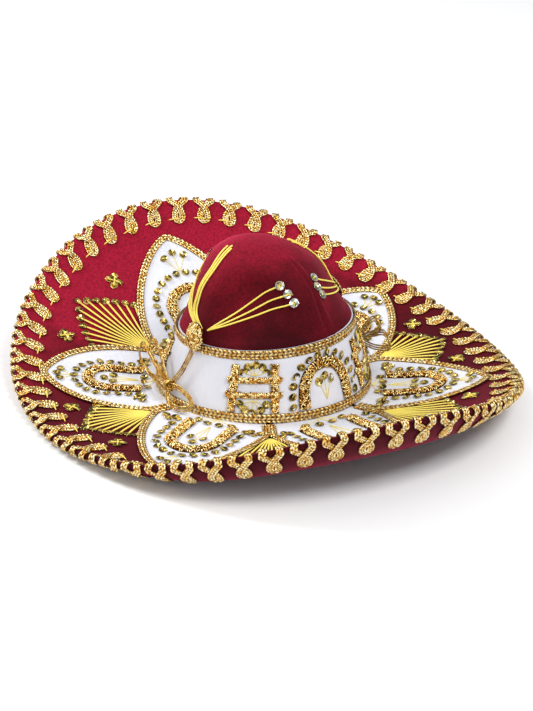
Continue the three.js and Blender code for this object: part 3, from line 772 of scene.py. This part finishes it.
def satin_material():
    look = Shading(
        "white_satin", 0.42, 0.0, Sheen_Weight=0.25, Sheen_Roughness=0.5, Specular_IOR_Level=0.45,
        Anisotropic=0.4,
    )
    look.mottle(30, 3, (0.74, 0.76, 0.86), (0.84, 0.85, 0.92))
    warp = look.weave(900, "X")
    weft = look.weave(900, "Y")
    look.roughness(look.noise(500, 2), 0.36, 0.5)
    look.bump(look.maths("ADD", warp, weft), 0.00012, 0.6)
    return look.material


def sequin_material():
    look = Shading("gold_sequin", 0.16, 1.0)
    olive, amber, gold = (0.11, 0.09, 0.03), (0.50, 0.36, 0.09), (0.95, 0.75, 0.30)
    look.colour(look.ramp(look.noise(170, 1), [(0.38, olive), (0.52, amber), (0.66, gold)]))
    look.roughness(look.noise(600, 2), 0.1, 0.26)
    look.bump(look.noise(500, 1), 0.0004, 0.5)
    return look.material


def crystal_material():
    look = Shading("silver_sequin", 0.14, 1.0)
    look.mottle(200, 1, (0.30, 0.33, 0.24), (0.86, 0.87, 0.80), 0.15)
    look.roughness(look.noise(600, 2), 0.08, 0.24)
    look.bump(look.noise(500, 1), 0.0004, 0.5)
    return look.material


def lining_material():
    look = Shading("lining_satin", 0.42, 0.0, Sheen_Weight=0.2)
    look.mottle(60, 3, (0.07, 0.006, 0.014), (0.13, 0.011, 0.026), 0.15)
    look.bump(look.weave(900, "X"), 0.0001, 0.5)
    return look.material


def leather_material():
    look = Shading("sweatband_leather", 0.55)
    look.mottle(90, 4, (0.018, 0.009, 0.006), (0.052, 0.027, 0.017))
    look.roughness(look.noise(300, 3), 0.42, 0.68)
    look.bump(look.cells(620)["Distance"], 0.0002, 0.6)
    return look.material


def board_material():
    look = Shading("felt_board", 0.95)
    look.mottle(400, 5, (0.05, 0.035, 0.028), (0.11, 0.08, 0.065))
    look.bump(look.noise(1200, 3), 0.0004, 0.6)
    return look.material


def wire_material():
    look = Shading("steel_wire", 0.35, 1.0)
    look.mottle(300, 3, (0.35, 0.36, 0.37), (0.55, 0.56, 0.57))
    look.roughness(look.noise(900, 2), 0.25, 0.45)
    return look.material


LOOKS = {
    "velvet": velvet_material(),
    # Each gold is a dark, a middle and a bright colour for its painted glints.
    "gold_braid": gold_material(
        "gold_braid", ((0.55, 0.24, 0.03), (0.95, 0.56, 0.12), (1.0, 0.88, 0.5)), 520
    ),
    "gold_cord": gold_material(
        "gold_cord", ((0.50, 0.22, 0.03), (0.85, 0.46, 0.07), (1.0, 0.78, 0.30)), 300
    ),
    "gold_bullion": gold_material(
        "gold_purl", ((0.28, 0.11, 0.015), (0.88, 0.48, 0.09), (1.0, 0.86, 0.45)), 460, 0.22
    ),
    "thread": thread_material(),
    "satin": satin_material(),
    "sequin": sequin_material(),
    "bright_sequin": crystal_material(),
    "lining": lining_material(),
    "sweatband": leather_material(),
    "board": board_material(),
    "wire": wire_material(),
}


# ---- Brim and rim ----

def around(columns):
    return np.arange(columns)[None, :] * TURN / columns


RIM_TABLE_ANGLES = np.linspace(0, TURN, 4001)
RIM_TABLE = np.concatenate(
    [[0], np.cumsum(np.linalg.norm(np.diff(brim_base(RIM_TABLE_ANGLES, 1.0), axis=0), axis=1))]
)
RIM_LENGTH = RIM_TABLE[-1]


def rim_share(angle, inset):
    """The share of the brim's width at a distance in from the rim, measured along the brim."""
    width = rim_radius(angle) - head_radius(angle)
    depth = inset / width
    for _ in range(5):
        middle = 1 - depth / 2
        rise = brim_base(angle, middle + 0.002)[..., 2] - brim_base(angle, middle - 0.002)[..., 2]
        depth = inset / (width * np.hypot(1, rise / (0.004 * width)))
    return 1 - depth


def rim_fold(run, inset, fold, lift):
    """A point on the way round the brim's edge: a fold of 0 is above the brim, 90 degrees is at
    its edge and 180 below it. The run is measured along the rim."""
    turns = np.floor(run / RIM_LENGTH)
    angle = np.interp(run - turns * RIM_LENGTH, RIM_TABLE, RIM_TABLE_ANGLES)
    outset = (EDGE_REACH + lift) * np.sin(fold)
    height = BRIM_TOP / 2 + (BRIM_TOP / 2 + lift) * np.cos(fold)
    return brim_point(angle, rim_share(angle, inset - outset), height)


def brim_rows(angle, rows):
    """Shares of the brim's width from inside the head opening out to the rim."""
    start = -OPENING_INSET / (rim_radius(angle) - head_radius(angle))
    share = np.linspace(0, 1, rows)[:, None]
    return start * (1 - share) + share


def top_velvet():
    """The upper velvet, with its edge turned down over the rim."""
    angle = around(BRIM_COLUMNS)
    flat = brim_rows(angle, 46)
    upper = brim_point(angle, flat, BRIM_TOP)
    lower = brim_point(angle, flat, TOP_VELVET_LOW)
    run = np.interp(angle, RIM_TABLE_ANGLES, RIM_TABLE)
    fold = np.linspace(15, 165, 9)[:, None] * DEGREE
    edge = rim_fold(run, 0.0, fold, -0.9)
    inside = rim_fold(run, 0.0, fold, -1.7)
    shell = thin_body(np.concatenate([upper, edge]), np.concatenate([lower, inside]), True)
    return build("brim_velvet_top", [shell], "velvet", ["brim_top_velvet"])


def under_velvet():
    angle = around(BRIM_COLUMNS)
    flat = brim_rows(angle, 40)
    shell = thin_body(brim_point(angle, flat, VELVET), brim_point(angle, flat, 0), True)
    return build("brim_velvet_under", [shell], "velvet", ["brim_under_velvet"])


def rim_route():
    """The braid's whole way: a loop above the brim, round the edge, a loop below it, and back."""
    pitch = RIM_LENGTH / LOOPS
    controls = []
    for index in range(2 * LOOPS):
        middle = index * pitch / 2
        fold = 0 if index % 2 == 0 else math.pi
        for along, inset, lift in LOOP_ROUTE:
            controls.append((middle + along + LOOP_LEAN * inset, inset, fold, lift))
        controls.append((middle + pitch / 4, -0.4, math.pi / 2, 0.2))
    route = spline(controls, 6)
    route[:, 2] = np.clip(route[:, 2], 0, math.pi)
    return evenly(route, rim_fold(*route.T), BRAID_STEP)


def rim_braid():
    route = rim_route()
    points, ups = lay(rim_fold, route[:, :3], route[:, 3])
    quarters = np.linspace(0, len(points) - 1, 5).astype(int)
    for index in range(4):
        taken = slice(quarters[index], quarters[index + 1] + 1)
        ribbon = braid(points[taken], ups[taken], BRAID_WIDTH, BRAID_THICKNESS, BRAID_PITCH)
        nodes = ["rim_braid"] if index == 0 else []
        build(f"rim_lacing_{index + 1}", [ribbon], "gold_braid", nodes)


def rim_tacks():
    """The yellow stitch that holds the tip of each loop above the brim."""
    middle = np.arange(LOOPS)[:, None] * RIM_LENGTH / LOOPS
    share = np.linspace(0, 1, 8)
    run = middle + LOOP_LEAN * LOOP_TIP + 12 * share + RANDOM.uniform(-0.7, 0.7, (LOOPS, 1))
    inset = LOOP_TIP - 2.0 - 0.5 * share + RANDOM.uniform(-1, 1, (LOOPS, 1)) * share
    lift = 2.8 - 2.4 * share**2
    points, ups = lay(rim_fold, stack(run, inset, 0 * run), lift)
    tack = tubes(points, ups, 0.65, taper=True)
    build("rim_tacks", [tack], "thread")


# ---- Crown ----

def crown_surface(angle, climb, height):
    """The crown's outer face, with a crease and two low welts at its upright seam. It swells a
    little to fill the band's top."""
    across = wrapped(angle - SEAM_ANGLE) * head_radius(angle) * 0.8
    welt = WELT_HEIGHT * np.exp(-(((np.abs(across) - WELT_PLACE) / WELT_WIDTH) ** 2))
    crease = CREASE_DEPTH * np.exp(-((across / CREASE_WIDTH) ** 2)) - welt
    pucker = 0.3 * np.exp(-((across / 12) ** 2)) * np.sin(across * 0.4 + 20 * climb)
    worn = (crease + np.minimum(0, pucker)) * np.clip((0.8 - climb) / 0.1, 0, 1)
    scale = np.interp(climb, OUTLINE_CLIMB, OUTLINE[:, 0])
    z = np.interp(climb, OUTLINE_CLIMB, OUTLINE[:, 1])
    inside_band = 1 - BAND_TAPER * (z - BAND_LOW) / (BAND_TOP - BAND_LOW)
    gap = (inside_band - scale) * head_radius(angle) + dent(angle, z) + 0.8
    near_top = np.clip((BAND_TOP + 9 - z) / 8, 0, 1) * np.clip((z - 50) / 20, 0, 1)
    swell = np.maximum(0, gap) * near_top**2 * (3 - 2 * near_top)
    return crown_point(angle, climb, height - worn + swell)


def crown_shell(name, surface, inset, thickness, columns, rows, slot, node, climbs=(0, 1)):
    angle = around(columns)
    climb = np.linspace(*climbs, rows)[:, None] + 0 * angle
    shell = thin_body(surface(angle, climb, -inset), surface(angle, climb, -inset - thickness), True)
    return build(name, [shell], slot, [node], merge=True)


def crown_boards():
    """The pressed stiffener between the velvet and the lining, in two parts."""
    for node, climbs in BOARD_CLIMBS.items():
        crown_shell(f"{node}_felt", crown_point, BOARD_INSET, BOARD, 160, 30, "board", node, climbs)


def sweatband_point(angle, share, z, inset):
    """A point of the sweatband, which leans in by its share of the way up."""
    radius = head_radius(angle) - SWEATBAND_INSET - SWEATBAND_LEAN * share - inset
    return tilt(radius * np.cos(angle), radius * np.sin(angle), z + 0 * angle)


def sweatband():
    angle = around(240)
    share = np.linspace(0, 1, 12)[:, None]
    z = SWEATBAND_LOW + (SWEATBAND_TOP - SWEATBAND_LOW) * share
    sheets = [sweatband_point(angle, share, z, inset) for inset in (0, SWEATBAND)]
    build("sweatband_strip", [thin_body(*sheets, True)], "sweatband", ["sweatband"])
    count = 150
    reach = np.linspace(-0.3, 0.3, 5)
    turn = (np.arange(count)[:, None] + reach) * TURN / count
    points = sweatband_point(turn, *SWEATBAND_SEAM, SWEATBAND + 0.15)
    stitch = tubes(points, np.array([0.0, 0.0, 1.0]), 0.35)
    build("sweatband_stitches", [stitch], "thread")


# ---- Band ----

def band_creases(angle, z):
    """Slight upright creases in the band's satin."""
    share = (z - BAND_LOW) / (BAND_TOP - BAND_LOW)
    waves = np.sin(31 * angle + 2.2 * share) * 0.16 + np.sin(57 * angle - 3 * share + 1) * 0.09
    return waves * np.sin(math.pi * np.clip(share, 0, 1)) ** 0.5


def band_satin():
    angle = around(560)
    z = np.linspace(BAND_LOW, BAND_TOP, 26)[:, None] + 0 * angle
    upper = band_point(angle, z, BAND_THICKNESS + band_creases(angle, z))
    shell = thin_body(upper, band_point(angle, z, 0), True)
    return build("band_satin", [shell], "satin", ["hat_band"])


def band_trim(name, z, node):
    """A wide plaited braid round the band."""
    run = np.stack([np.linspace(0, TURN * BAND_RADIUS, 1500), np.full(1500, z)], axis=1)
    path = evenly(run, band_at(*run.T, 1.0), BRAID_STEP)
    points, ups = lay(band_at, path, BAND_THICKNESS + 0.2)
    ribbon = braid(points, ups, BAND_TRIM_WIDTH, TRIM_THICKNESS, BAND_TRIM_PITCH)
    build(name, [ribbon], "gold_braid", [node])


def on_band(centre):
    """The band's surface, with places measured from an angle round the hat."""
    return lambda along, z, lift: band_at(along + centre * BAND_RADIUS, z, lift + BAND_THICKNESS)


def band_ladder(number, centre):
    """Two upright rails of raised work with two rungs, and a fan of sequins above and below."""
    surface = on_band(centre)
    middle = (WORK_LOW + WORK_HIGH) / 2
    work = []
    for along in (-LADDER_HALF_WIDTH, LADDER_HALF_WIDTH):
        rail = np.array([(along, WORK_LOW), (along, WORK_HIGH)], float)
        work += bullion(surface, rail, WORK_WIDTH, WORK_HEIGHT, 0.1)
    for z in (middle - RUNG_OFFSET, middle + RUNG_OFFSET):
        rung = np.array([(-RUNG_HALF_WIDTH, z), (RUNG_HALF_WIDTH, z)], float)
        work += bullion(surface, rung, RUNG_WIDTH, WORK_HEIGHT - 0.6, 0.1)
    build(f"ladder_bullion_{number}", work, "gold_bullion", [f"band_ladder_{number}"])
    discs, stitch = [], []
    for side in (-1, 1):
        apex = np.array([0, middle + side * 11.5])
        turns = np.linspace(20, 160, 5) * DEGREE
        spots = apex + np.stack([13.5 * np.cos(turns), side * 10.5 * np.sin(turns)], axis=1)
        disc, tie = sequins(surface, spots)
        discs.append(disc)
        stitch += [tie, threads(surface, apex[None], spots, 0.8, 0.3)]
    build(f"ladder_sequins_{number}", discs, "sequin")
    build(f"ladder_threads_{number}", stitch, "thread")


def arch_path(half_width, low, high, count):
    turns = np.linspace(0, math.pi, count)
    z = low + (high - low) * np.sin(turns) ** 0.6
    return np.stack([-half_width * np.cos(turns), z], axis=1)


def band_arch(number, centre):
    """An arch of raised work, with sequins round it and three inside it."""
    surface = on_band(centre)
    path = arch_path(ARCH_HALF_WIDTH, WORK_LOW, ARCH_TOP, 60)
    work = bullion(surface, path, ARCH_WIDTH, WORK_HEIGHT + 0.6, 0.1)
    build(f"arch_bullion_{number}", work, "gold_bullion", [f"band_arch_{number}"])
    outer = arch_path(ARCH_HALF_WIDTH + ARCH_SEQUIN_OFFSET, WORK_LOW + 2, WORK_HIGH + 2, 200)
    spots = evenly(outer, surface(*outer.T, 0), 10.2)
    inner = np.array([(-7, 40), (0, 44), (7, 40)], float)
    disc, tie = sequins(surface, np.concatenate([spots, inner]))
    lines = threads(surface, np.array([[0.0, 22.0]]), inner, 0.8, 0.3)
    build(f"arch_sequins_{number}", [disc], "sequin")
    build(f"arch_threads_{number}", [tie, lines], "thread")


# ---- Petals ----

class Petal:
    """One petal: its number, the direction of its tip, and how far it spreads to each side."""

    def __init__(self, index):
        self.number = index + 1
        self.axis = PETAL_AXES[index]
        self.before = wrapped(self.axis - PETAL_AXES[index - 1]) / 2 - PETAL_SEAM
        self.after = wrapped(PETAL_AXES[(index + 1) % len(PETAL_AXES)] - self.axis) / 2 - PETAL_SEAM

    def half_angle(self, share, side):
        """The angle from the axis to the petal's edge, with side below 0 or above it."""
        beyond = np.maximum(0, (share - PETAL_SHOULDER) / (PETAL_TIP - PETAL_SHOULDER))
        return np.where(side < 0, self.before, self.after) * np.maximum(0, 1 - beyond**0.95) ** 0.75


def petal_shares(count):
    """Shares from a petal's base to its tip, closer together where the tip rounds off."""
    left = 1 - np.linspace(0, 1, count)
    return PETAL_START + (PETAL_TIP - PETAL_START) * (1 - left**1.7)


def petal_plan(axis, along, across):
    """Plan places along and across a petal, as shares of its length."""
    length = (rim_radius(axis) - head_radius(axis)) * PETAL_TIP
    reach = head_radius(axis) + length * np.asarray(along)
    side = length * np.asarray(across)
    x = reach * np.cos(axis) - side * np.sin(axis)
    y = reach * np.sin(axis) + side * np.cos(axis)
    return stack(x, y)


def petal_puff(across, share):
    """How far the satin stands up between its stitched edges, with its slight creases."""
    crown = 0.8 * np.maximum(0, 1 - across**2) ** 0.7
    creases = 0.16 * np.sin(9 * across + 7 * share) + 0.1 * np.sin(17 * across - 23 * share)
    return crown + creases * (1 - across**2)


def on_petal(petal):
    """The petal's upper face, as a surface over the plan."""
    def surface(x, y, lift):
        angle, share = brim_place(x, y)
        turn = wrapped(angle - petal.axis)
        half = np.maximum(petal.half_angle(share, turn), 1e-3)
        across = np.clip(turn / half, -1, 1)
        return brim_point(angle, share, PETAL_TOP + petal_puff(across, share) + lift)
    return surface


def petal_satin(petal):
    share = petal_shares(70)[:, None]
    across = np.linspace(-1, 1, 41)[None, :]
    angle = petal.axis + petal.half_angle(share, across) * across
    share = share + 0 * across
    upper = brim_point(angle, share, PETAL_TOP + petal_puff(across, share))
    body = thin_body(upper, brim_point(angle, share, PETAL_LOW), False)
    name, node = f"satin_petal_{petal.number}", f"petal_{petal.number}"
    return build(name, [body], "satin", [node], merge=True)


def petal_edge(petal):
    """The plan line along a petal's edge, from the band round the tip and back."""
    share = petal_shares(90)[2:-1]
    there = plan_at(petal.axis - petal.half_angle(share, -1), share)
    back = plan_at(petal.axis + petal.half_angle(share, 1), share)[::-1]
    tip = plan_at(petal.axis, [PETAL_TIP])
    line = np.concatenate([there, tip, back])
    for _ in range(3):
        line[1:-1] = (line[:-2] + 2 * line[1:-1] + line[2:]) / 4
    return line


def petal_trim(petal):
    line = petal_edge(petal)
    path = evenly(line, brim_at(*line.T, PETAL_TOP), BRAID_STEP)
    points, ups = lay(brim_at, path, PETAL_TOP - 0.1)
    ribbon = braid(points, ups, PETAL_TRIM_WIDTH, TRIM_THICKNESS, PETAL_TRIM_PITCH)
    name, node = f"petal_braid_{petal.number}", f"petal_trim_{petal.number}"
    build(name, [ribbon], "gold_braid", [node])


def horseshoe(axis, half_width, leg_start, bend, count):
    """A plan line in the shape of a U, open towards the crown."""
    turns = np.linspace(0, math.pi, count)
    legs = np.linspace(leg_start, bend, count // 2)[:-1]
    along = np.concatenate([legs, bend + half_width * np.sin(turns), legs[::-1]])
    across = np.concatenate([-half_width + 0 * legs, -half_width * np.cos(turns), half_width + 0 * legs])
    return petal_plan(axis, along, across)


def petal_work(petal):
    """The bullion scroll, sequins and fine threads of one petal."""
    number, axis = petal.number, petal.axis
    surface = on_petal(petal)
    path = horseshoe(axis, half_width=0.18, leg_start=0.15, bend=0.44, count=40)
    scroll = bullion(surface, path, SCROLL_WIDTH, SCROLL_HEIGHT, 0.0)
    build(f"petal_bullion_{number}", scroll, "gold_bullion", [f"petal_scroll_{number}"])
    outer = horseshoe(axis, half_width=0.29, leg_start=0.16, bend=0.45, count=80)
    ring = evenly(outer, surface(*outer.T, 0), 10.8)
    inner = petal_plan(axis, [0.40, 0.48, 0.40], [-0.055, 0, 0.055])
    tip = petal_plan(axis, [0.86, 0.89, 0.86], [-0.075, 0, 0.075])
    base = petal_plan(axis, [0.10, 0.13, 0.13, 0.10], [-0.14, -0.05, 0.05, 0.14])
    trefoils = [
        petal_plan(axis, [0.13, 0.175, 0.13], [middle - 0.04, middle, middle + 0.04])
        for middle in (-0.36, 0.36)
    ]
    spots = np.concatenate([ring, inner, tip, base, *trefoils])
    disc, tie = sequins(surface, spots)
    lines = [tie]
    for along, ends in ((0.17, inner), (0.75, tip), (0.03, base)):
        lines.append(threads(surface, petal_plan(axis, [along], [0]), ends, 0.5, 0.3))
    build(f"petal_sequins_{number}", [disc], "sequin")
    build(f"petal_threads_{number}", lines, "thread")


# ---- Thread fans and flowers ----

def on_brim(x, y, lift):
    return brim_at(x, y, BRIM_TOP + lift)


def thread_fan(number, axis):
    """Pairs of floss from one point out to a kite's two far edges. Each pair ends in a sequin."""
    turn = np.linspace(-1, 1, FAN_PAIRS)
    share = FAN_FAR + (FAN_SIDE - FAN_FAR) * np.abs(turn)
    ends = plan_at(axis + FAN_HALF_ANGLE * turn, share)
    apex = plan_at(axis, [FAN_APEX])
    sideways = np.array([-math.sin(axis), math.cos(axis)])
    strands = []
    for offset in (-0.5, 0.5):
        start = apex + turn[:, None] * sideways * 2.2
        finish = ends + offset * unit(np.stack([-ends[:, 1], ends[:, 0]], axis=1)) * 1.1
        strands.append(threads(on_brim, start + offset * 0.5 * sideways, finish, 2.0, 0.56, -0.6))
    disc, tie = sequins(on_brim, ends, 0.4)
    build(f"fan_threads_{number}", [*strands, tie], "thread", [f"thread_fan_{number}"])
    build(f"fan_sequins_{number}", [disc], "sequin")


def flower(axis, share):
    """Four sequins round a crossed stitch."""
    centre = plan_at(axis, share)
    turns = (np.arange(4) + 0.5) * TURN / 4 + axis
    rays = np.stack([np.cos(turns), np.sin(turns)], axis=1)
    disc, tie = sequins(on_brim, centre + rays * FLOWER_RADIUS, 0.3)
    cross = threads(on_brim, centre[None], centre + rays * (FLOWER_RADIUS + 1.2), 1.7, 0.6, -0.4)
    return disc, [tie, cross]


def flowers():
    """A flower on each side of each fan."""
    discs, lines = [], []
    for petal in map(Petal, range(len(PETAL_AXES))):
        middle = petal.axis + petal.after + PETAL_SEAM
        for side in (-1, 1):
            disc, stitch = flower(middle + side * FLOWER_TURN, FLOWER_SHARE)
            discs.append(disc)
            lines += stitch
    build("flower_sequins", discs, "sequin")
    build("flower_threads", lines, "thread")


# ---- Medallions, bows and crown threads ----

def medallion(side, angle):
    """An oval dome covered with cut purl, leaning on the crown above the band."""
    centre = band_point(angle, MEDALLION_HEIGHT, MEDALLION_OFFSET)
    upright = unit(band_point(angle, MEDALLION_HEIGHT + 1, MEDALLION_OFFSET) - centre)
    across = np.array([-math.sin(angle), math.cos(angle), 0.0])
    outward_way = unit(np.cross(across, upright))

    def placed(x, y, height):
        return centre + x[..., None] * across + y[..., None] * upright + height[..., None] * outward_way

    rows = np.linspace(0.02, math.pi - 0.02, 18)[:, None]
    turns = np.arange(36)[None, :] * TURN / 36
    x = np.sin(rows) * np.cos(turns) * MEDALLION_HALF_WIDTH
    y = np.sin(rows) * np.sin(turns) * MEDALLION_HALF_HEIGHT
    body = closed_ball(placed(x, y, np.cos(rows) * MEDALLION_BULGE + 0 * turns))
    index = np.arange(MEDALLION_CHIPS) + 0.5
    reach = np.sqrt(index / MEDALLION_CHIPS)
    spiral = index * math.pi * (3 - math.sqrt(5))
    x = (MEDALLION_HALF_WIDTH - 0.2) * reach * np.cos(spiral)
    y = (MEDALLION_HALF_HEIGHT - 0.3) * reach * np.sin(spiral)
    height = (MEDALLION_BULGE + 0.1) * np.sqrt(np.maximum(0, 1 - 0.9 * reach**2))
    ups = unit(outward_way + x[:, None] * across * 0.08 + y[:, None] * upright * 0.05)
    heading = RANDOM.normal(0, 1, (MEDALLION_CHIPS, 3))
    heading = unit(heading - ups * np.einsum("ij,ij->i", heading, ups)[:, None])
    cover = chips(placed(x, y, height), ups, heading, 2.9, 0.55)
    build(f"medallion_bullion_{side}", [body, cover], "gold_bullion", [f"medallion_{side}"])


def closed_ball(points):
    """A closed body from rings of points, with a flat cap at each end."""
    rows, columns = points.shape[:2]
    index = np.arange(rows * columns).reshape(rows, columns)
    ring = np.concatenate([index, index[:, :1]], axis=1)
    flat = points.reshape(-1, 3)
    faces = outward(flat, [quads_of(ring), index[:1, ::-1], index[-1:]])
    # The body gets the deepest value, so a gold look paints it as shade under its purl.
    return Part(flat, faces, 0.0)


def bow(side, angle):
    """Loops of twisted gold cord, three cords wide, tied in a knot on the band."""
    cords = []
    for route in BOW_ROUTES:
        places = spline(route, 16)
        points = band_point(angle + places[:, 0] * DEGREE, places[:, 1], places[:, 2])
        points = evenly(points, points, BRAID_STEP)
        outward_way = unit(points * np.array([1.0, 1.0, 0.0]))
        tangents = unit(np.gradient(points, axis=0))
        sideways = unit(np.cross(outward_way, tangents))
        for offset in BOW_CORD_OFFSETS:
            cords.append(twisted(points + sideways * offset, outward_way, BOW_CORD_RADIUS))
    cords += knot(angle)
    build(f"bow_cords_{side}", cords, "gold_cord", [f"bow_{side}"])


def knot(angle):
    """Turns of cord wrapped round the middle of a bow."""
    turn, z, offset = BOW_KNOT
    centre = band_point(angle + turn * DEGREE, z, offset)
    outward_way = unit(band_point(angle, z, offset + 1) - centre)
    upright = np.array([0.0, 0.0, 1.0])
    across = np.cross(upright, outward_way)
    wraps = []
    for lean, shift in ((-0.5, -2.2), (-0.2, 0.0), (0.15, 2.2), (1.2, 0.0)):
        turns = np.linspace(0, TURN, 61)[:, None]
        axis = unit(across * math.cos(lean) + upright * math.sin(lean))
        level = np.cross(outward_way, axis)
        ring = centre + axis * shift + level * 5.2 * np.cos(turns) + outward_way * 4.6 * np.sin(turns)
        ring = evenly(ring, ring, BRAID_STEP)
        wraps.append(twisted(ring, np.broadcast_to(axis, ring.shape), 1.15))
    return wraps


def thread_path(angle, route):
    """Where a thread lies on the crown: drawn tight between two places, or bent through more."""
    places = spline(route, 20)
    if len(route) > 2:
        return stack(angle + places[:, 0] * DEGREE, places[:, 1])
    turns, climbs = np.array(route, float).T
    reach = np.interp(climbs, OUTLINE_CLIMB, OUTLINE[:, 0])
    share = np.linspace(0, 1, 40)
    x = np.interp(share, (0, 1), reach * np.cos(turns * DEGREE))
    y = np.interp(share, (0, 1), reach * np.sin(turns * DEGREE))
    return stack(angle + np.arctan2(y, x), np.interp(share, (0, 1), climbs))


def crown_threads(side, angle):
    """Threads laid over the crown from its medallion. The outer groups end in bright sequins."""
    for group, routes in THREAD_ROUTES.items():
        lines, ends = [], []
        for route in routes:
            path = thread_path(angle, route)
            points, ups = lay(crown_point, path, THREAD_LIFT)
            points = evenly(points, points, BRAID_STEP)
            share, given = np.linspace(0, 1, len(points)), np.linspace(0, 1, len(ups))
            ups = np.stack([np.interp(share, given, column) for column in ups.T], axis=1)
            lines.append(twisted(points, ups, 0.8, 4.5))
            ends.append(path[-1])
        if group != "ridge":
            disc, tie = sequins(crown_point, ends, 1.6, 1.1)
            lines.append(tie)
            build(f"crown_sequins_{group}_{side}", [disc], "sequin", look="bright_sequin")
        build(f"crown_threads_{group}_{side}", lines, "thread", [f"threads_{group}_{side}"])


# ---- Studio ----

def show_hidden_layers():
    """The inner layers stay as the CAD has them, out of sight between the velvets."""
    for node, look in (("brim_board", "board"), ("rim_wire", "wire")):
        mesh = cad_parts[node].data
        mesh.materials.clear()
        mesh.materials.append(LOOKS[look])


def floor():
    bpy.ops.mesh.primitive_plane_add(size=12, location=(0, 0, -0.0005))
    ground = bpy.context.object
    ground.name = "floor"
    look = Shading("pale_floor", 0.9, Specular_IOR_Level=0.1)
    look.mottle(3, 2, (0.93, 0.93, 0.94), (0.95, 0.95, 0.95), 0.1)
    ground.data.materials.append(look.material)


def area_light(name, place, size, power):
    lamp = bpy.data.lights.new(name, "AREA")
    lamp.size = size
    lamp.energy = power
    light = bpy.data.objects.new(name, lamp)
    light.location = place
    light.rotation_euler = (Vector((0, 0, 0.08)) - Vector(place)).to_track_quat("-Z", "Y").to_euler()
    bpy.context.scene.collection.objects.link(light)


def lights():
    world = bpy.data.worlds.new("studio")
    world.use_nodes = True
    background = world.node_tree.nodes["Background"]
    background.inputs["Color"].default_value = (0.97, 0.98, 1.0, 1)
    background.inputs["Strength"].default_value = 0.55
    bpy.context.scene.world = world
    for name, (place, size, power) in LIGHTS.items():
        area_light(name, place, size, power)
    bpy.context.scene.view_settings.view_transform = "Standard"


def camera():
    """The main view: from the wearer's left, a little above the brim."""
    level = math.cos(CAMERA_ELEVATION)
    x, y = math.cos(CAMERA_TURN), math.sin(CAMERA_TURN)
    away = Vector((x * level, y * level, math.sin(CAMERA_ELEVATION)))
    right = Vector((-y, x, 0))
    up = away.cross(right)
    aim = Vector((0, 0, 0.060)) + right * 0.003 - up * 0.023
    data = bpy.data.cameras.new("camera")
    data.lens = 135
    data.sensor_width = 36
    data.clip_end = 30
    viewer = bpy.data.objects.new("camera", data)
    viewer.location = aim + away * CAMERA_DISTANCE
    viewer.rotation_euler = away.to_track_quat("Z", "Y").to_euler()
    bpy.context.scene.collection.objects.link(viewer)
    bpy.context.scene.camera = viewer


# ---- The hat ----

camera()
lights()
floor()
show_hidden_layers()

top_velvet()
under_velvet()
rim_braid()
rim_tacks()

crown = crown_shell(
    "crown_velvet_cover", crown_surface, 0.0, VELVET, 300, 90, "velvet", "crown_velvet"
)
lining = crown_shell(
    "crown_lining_cover", crown_point, LINING_INSET, LINING, 160, 40, "lining", "crown_lining"
)
crown_boards()
sweatband()

band_satin()
band_trim("band_braid_lower", BAND_LOW + 4.8, "band_trim_lower")
band_trim("band_braid_upper", BAND_TOP - 3.8, "band_trim_upper")
for number, angle in enumerate(LADDER_ANGLES, 1):
    band_ladder(number, angle)
for number, angle in enumerate(ARCH_ANGLES, 1):
    band_arch(number, angle)

for petal in map(Petal, range(len(PETAL_AXES))):
    satin = petal_satin(petal)
    petal_trim(petal)
    petal_work(petal)
    thread_fan(petal.number, petal.axis + petal.after + PETAL_SEAM)
flowers()

for side, angle in BOW_ANGLES.items():
    medallion(side, angle + MEDALLION_TURN)
    bow(side, angle)
    crown_threads(side, angle + MEDALLION_TURN)
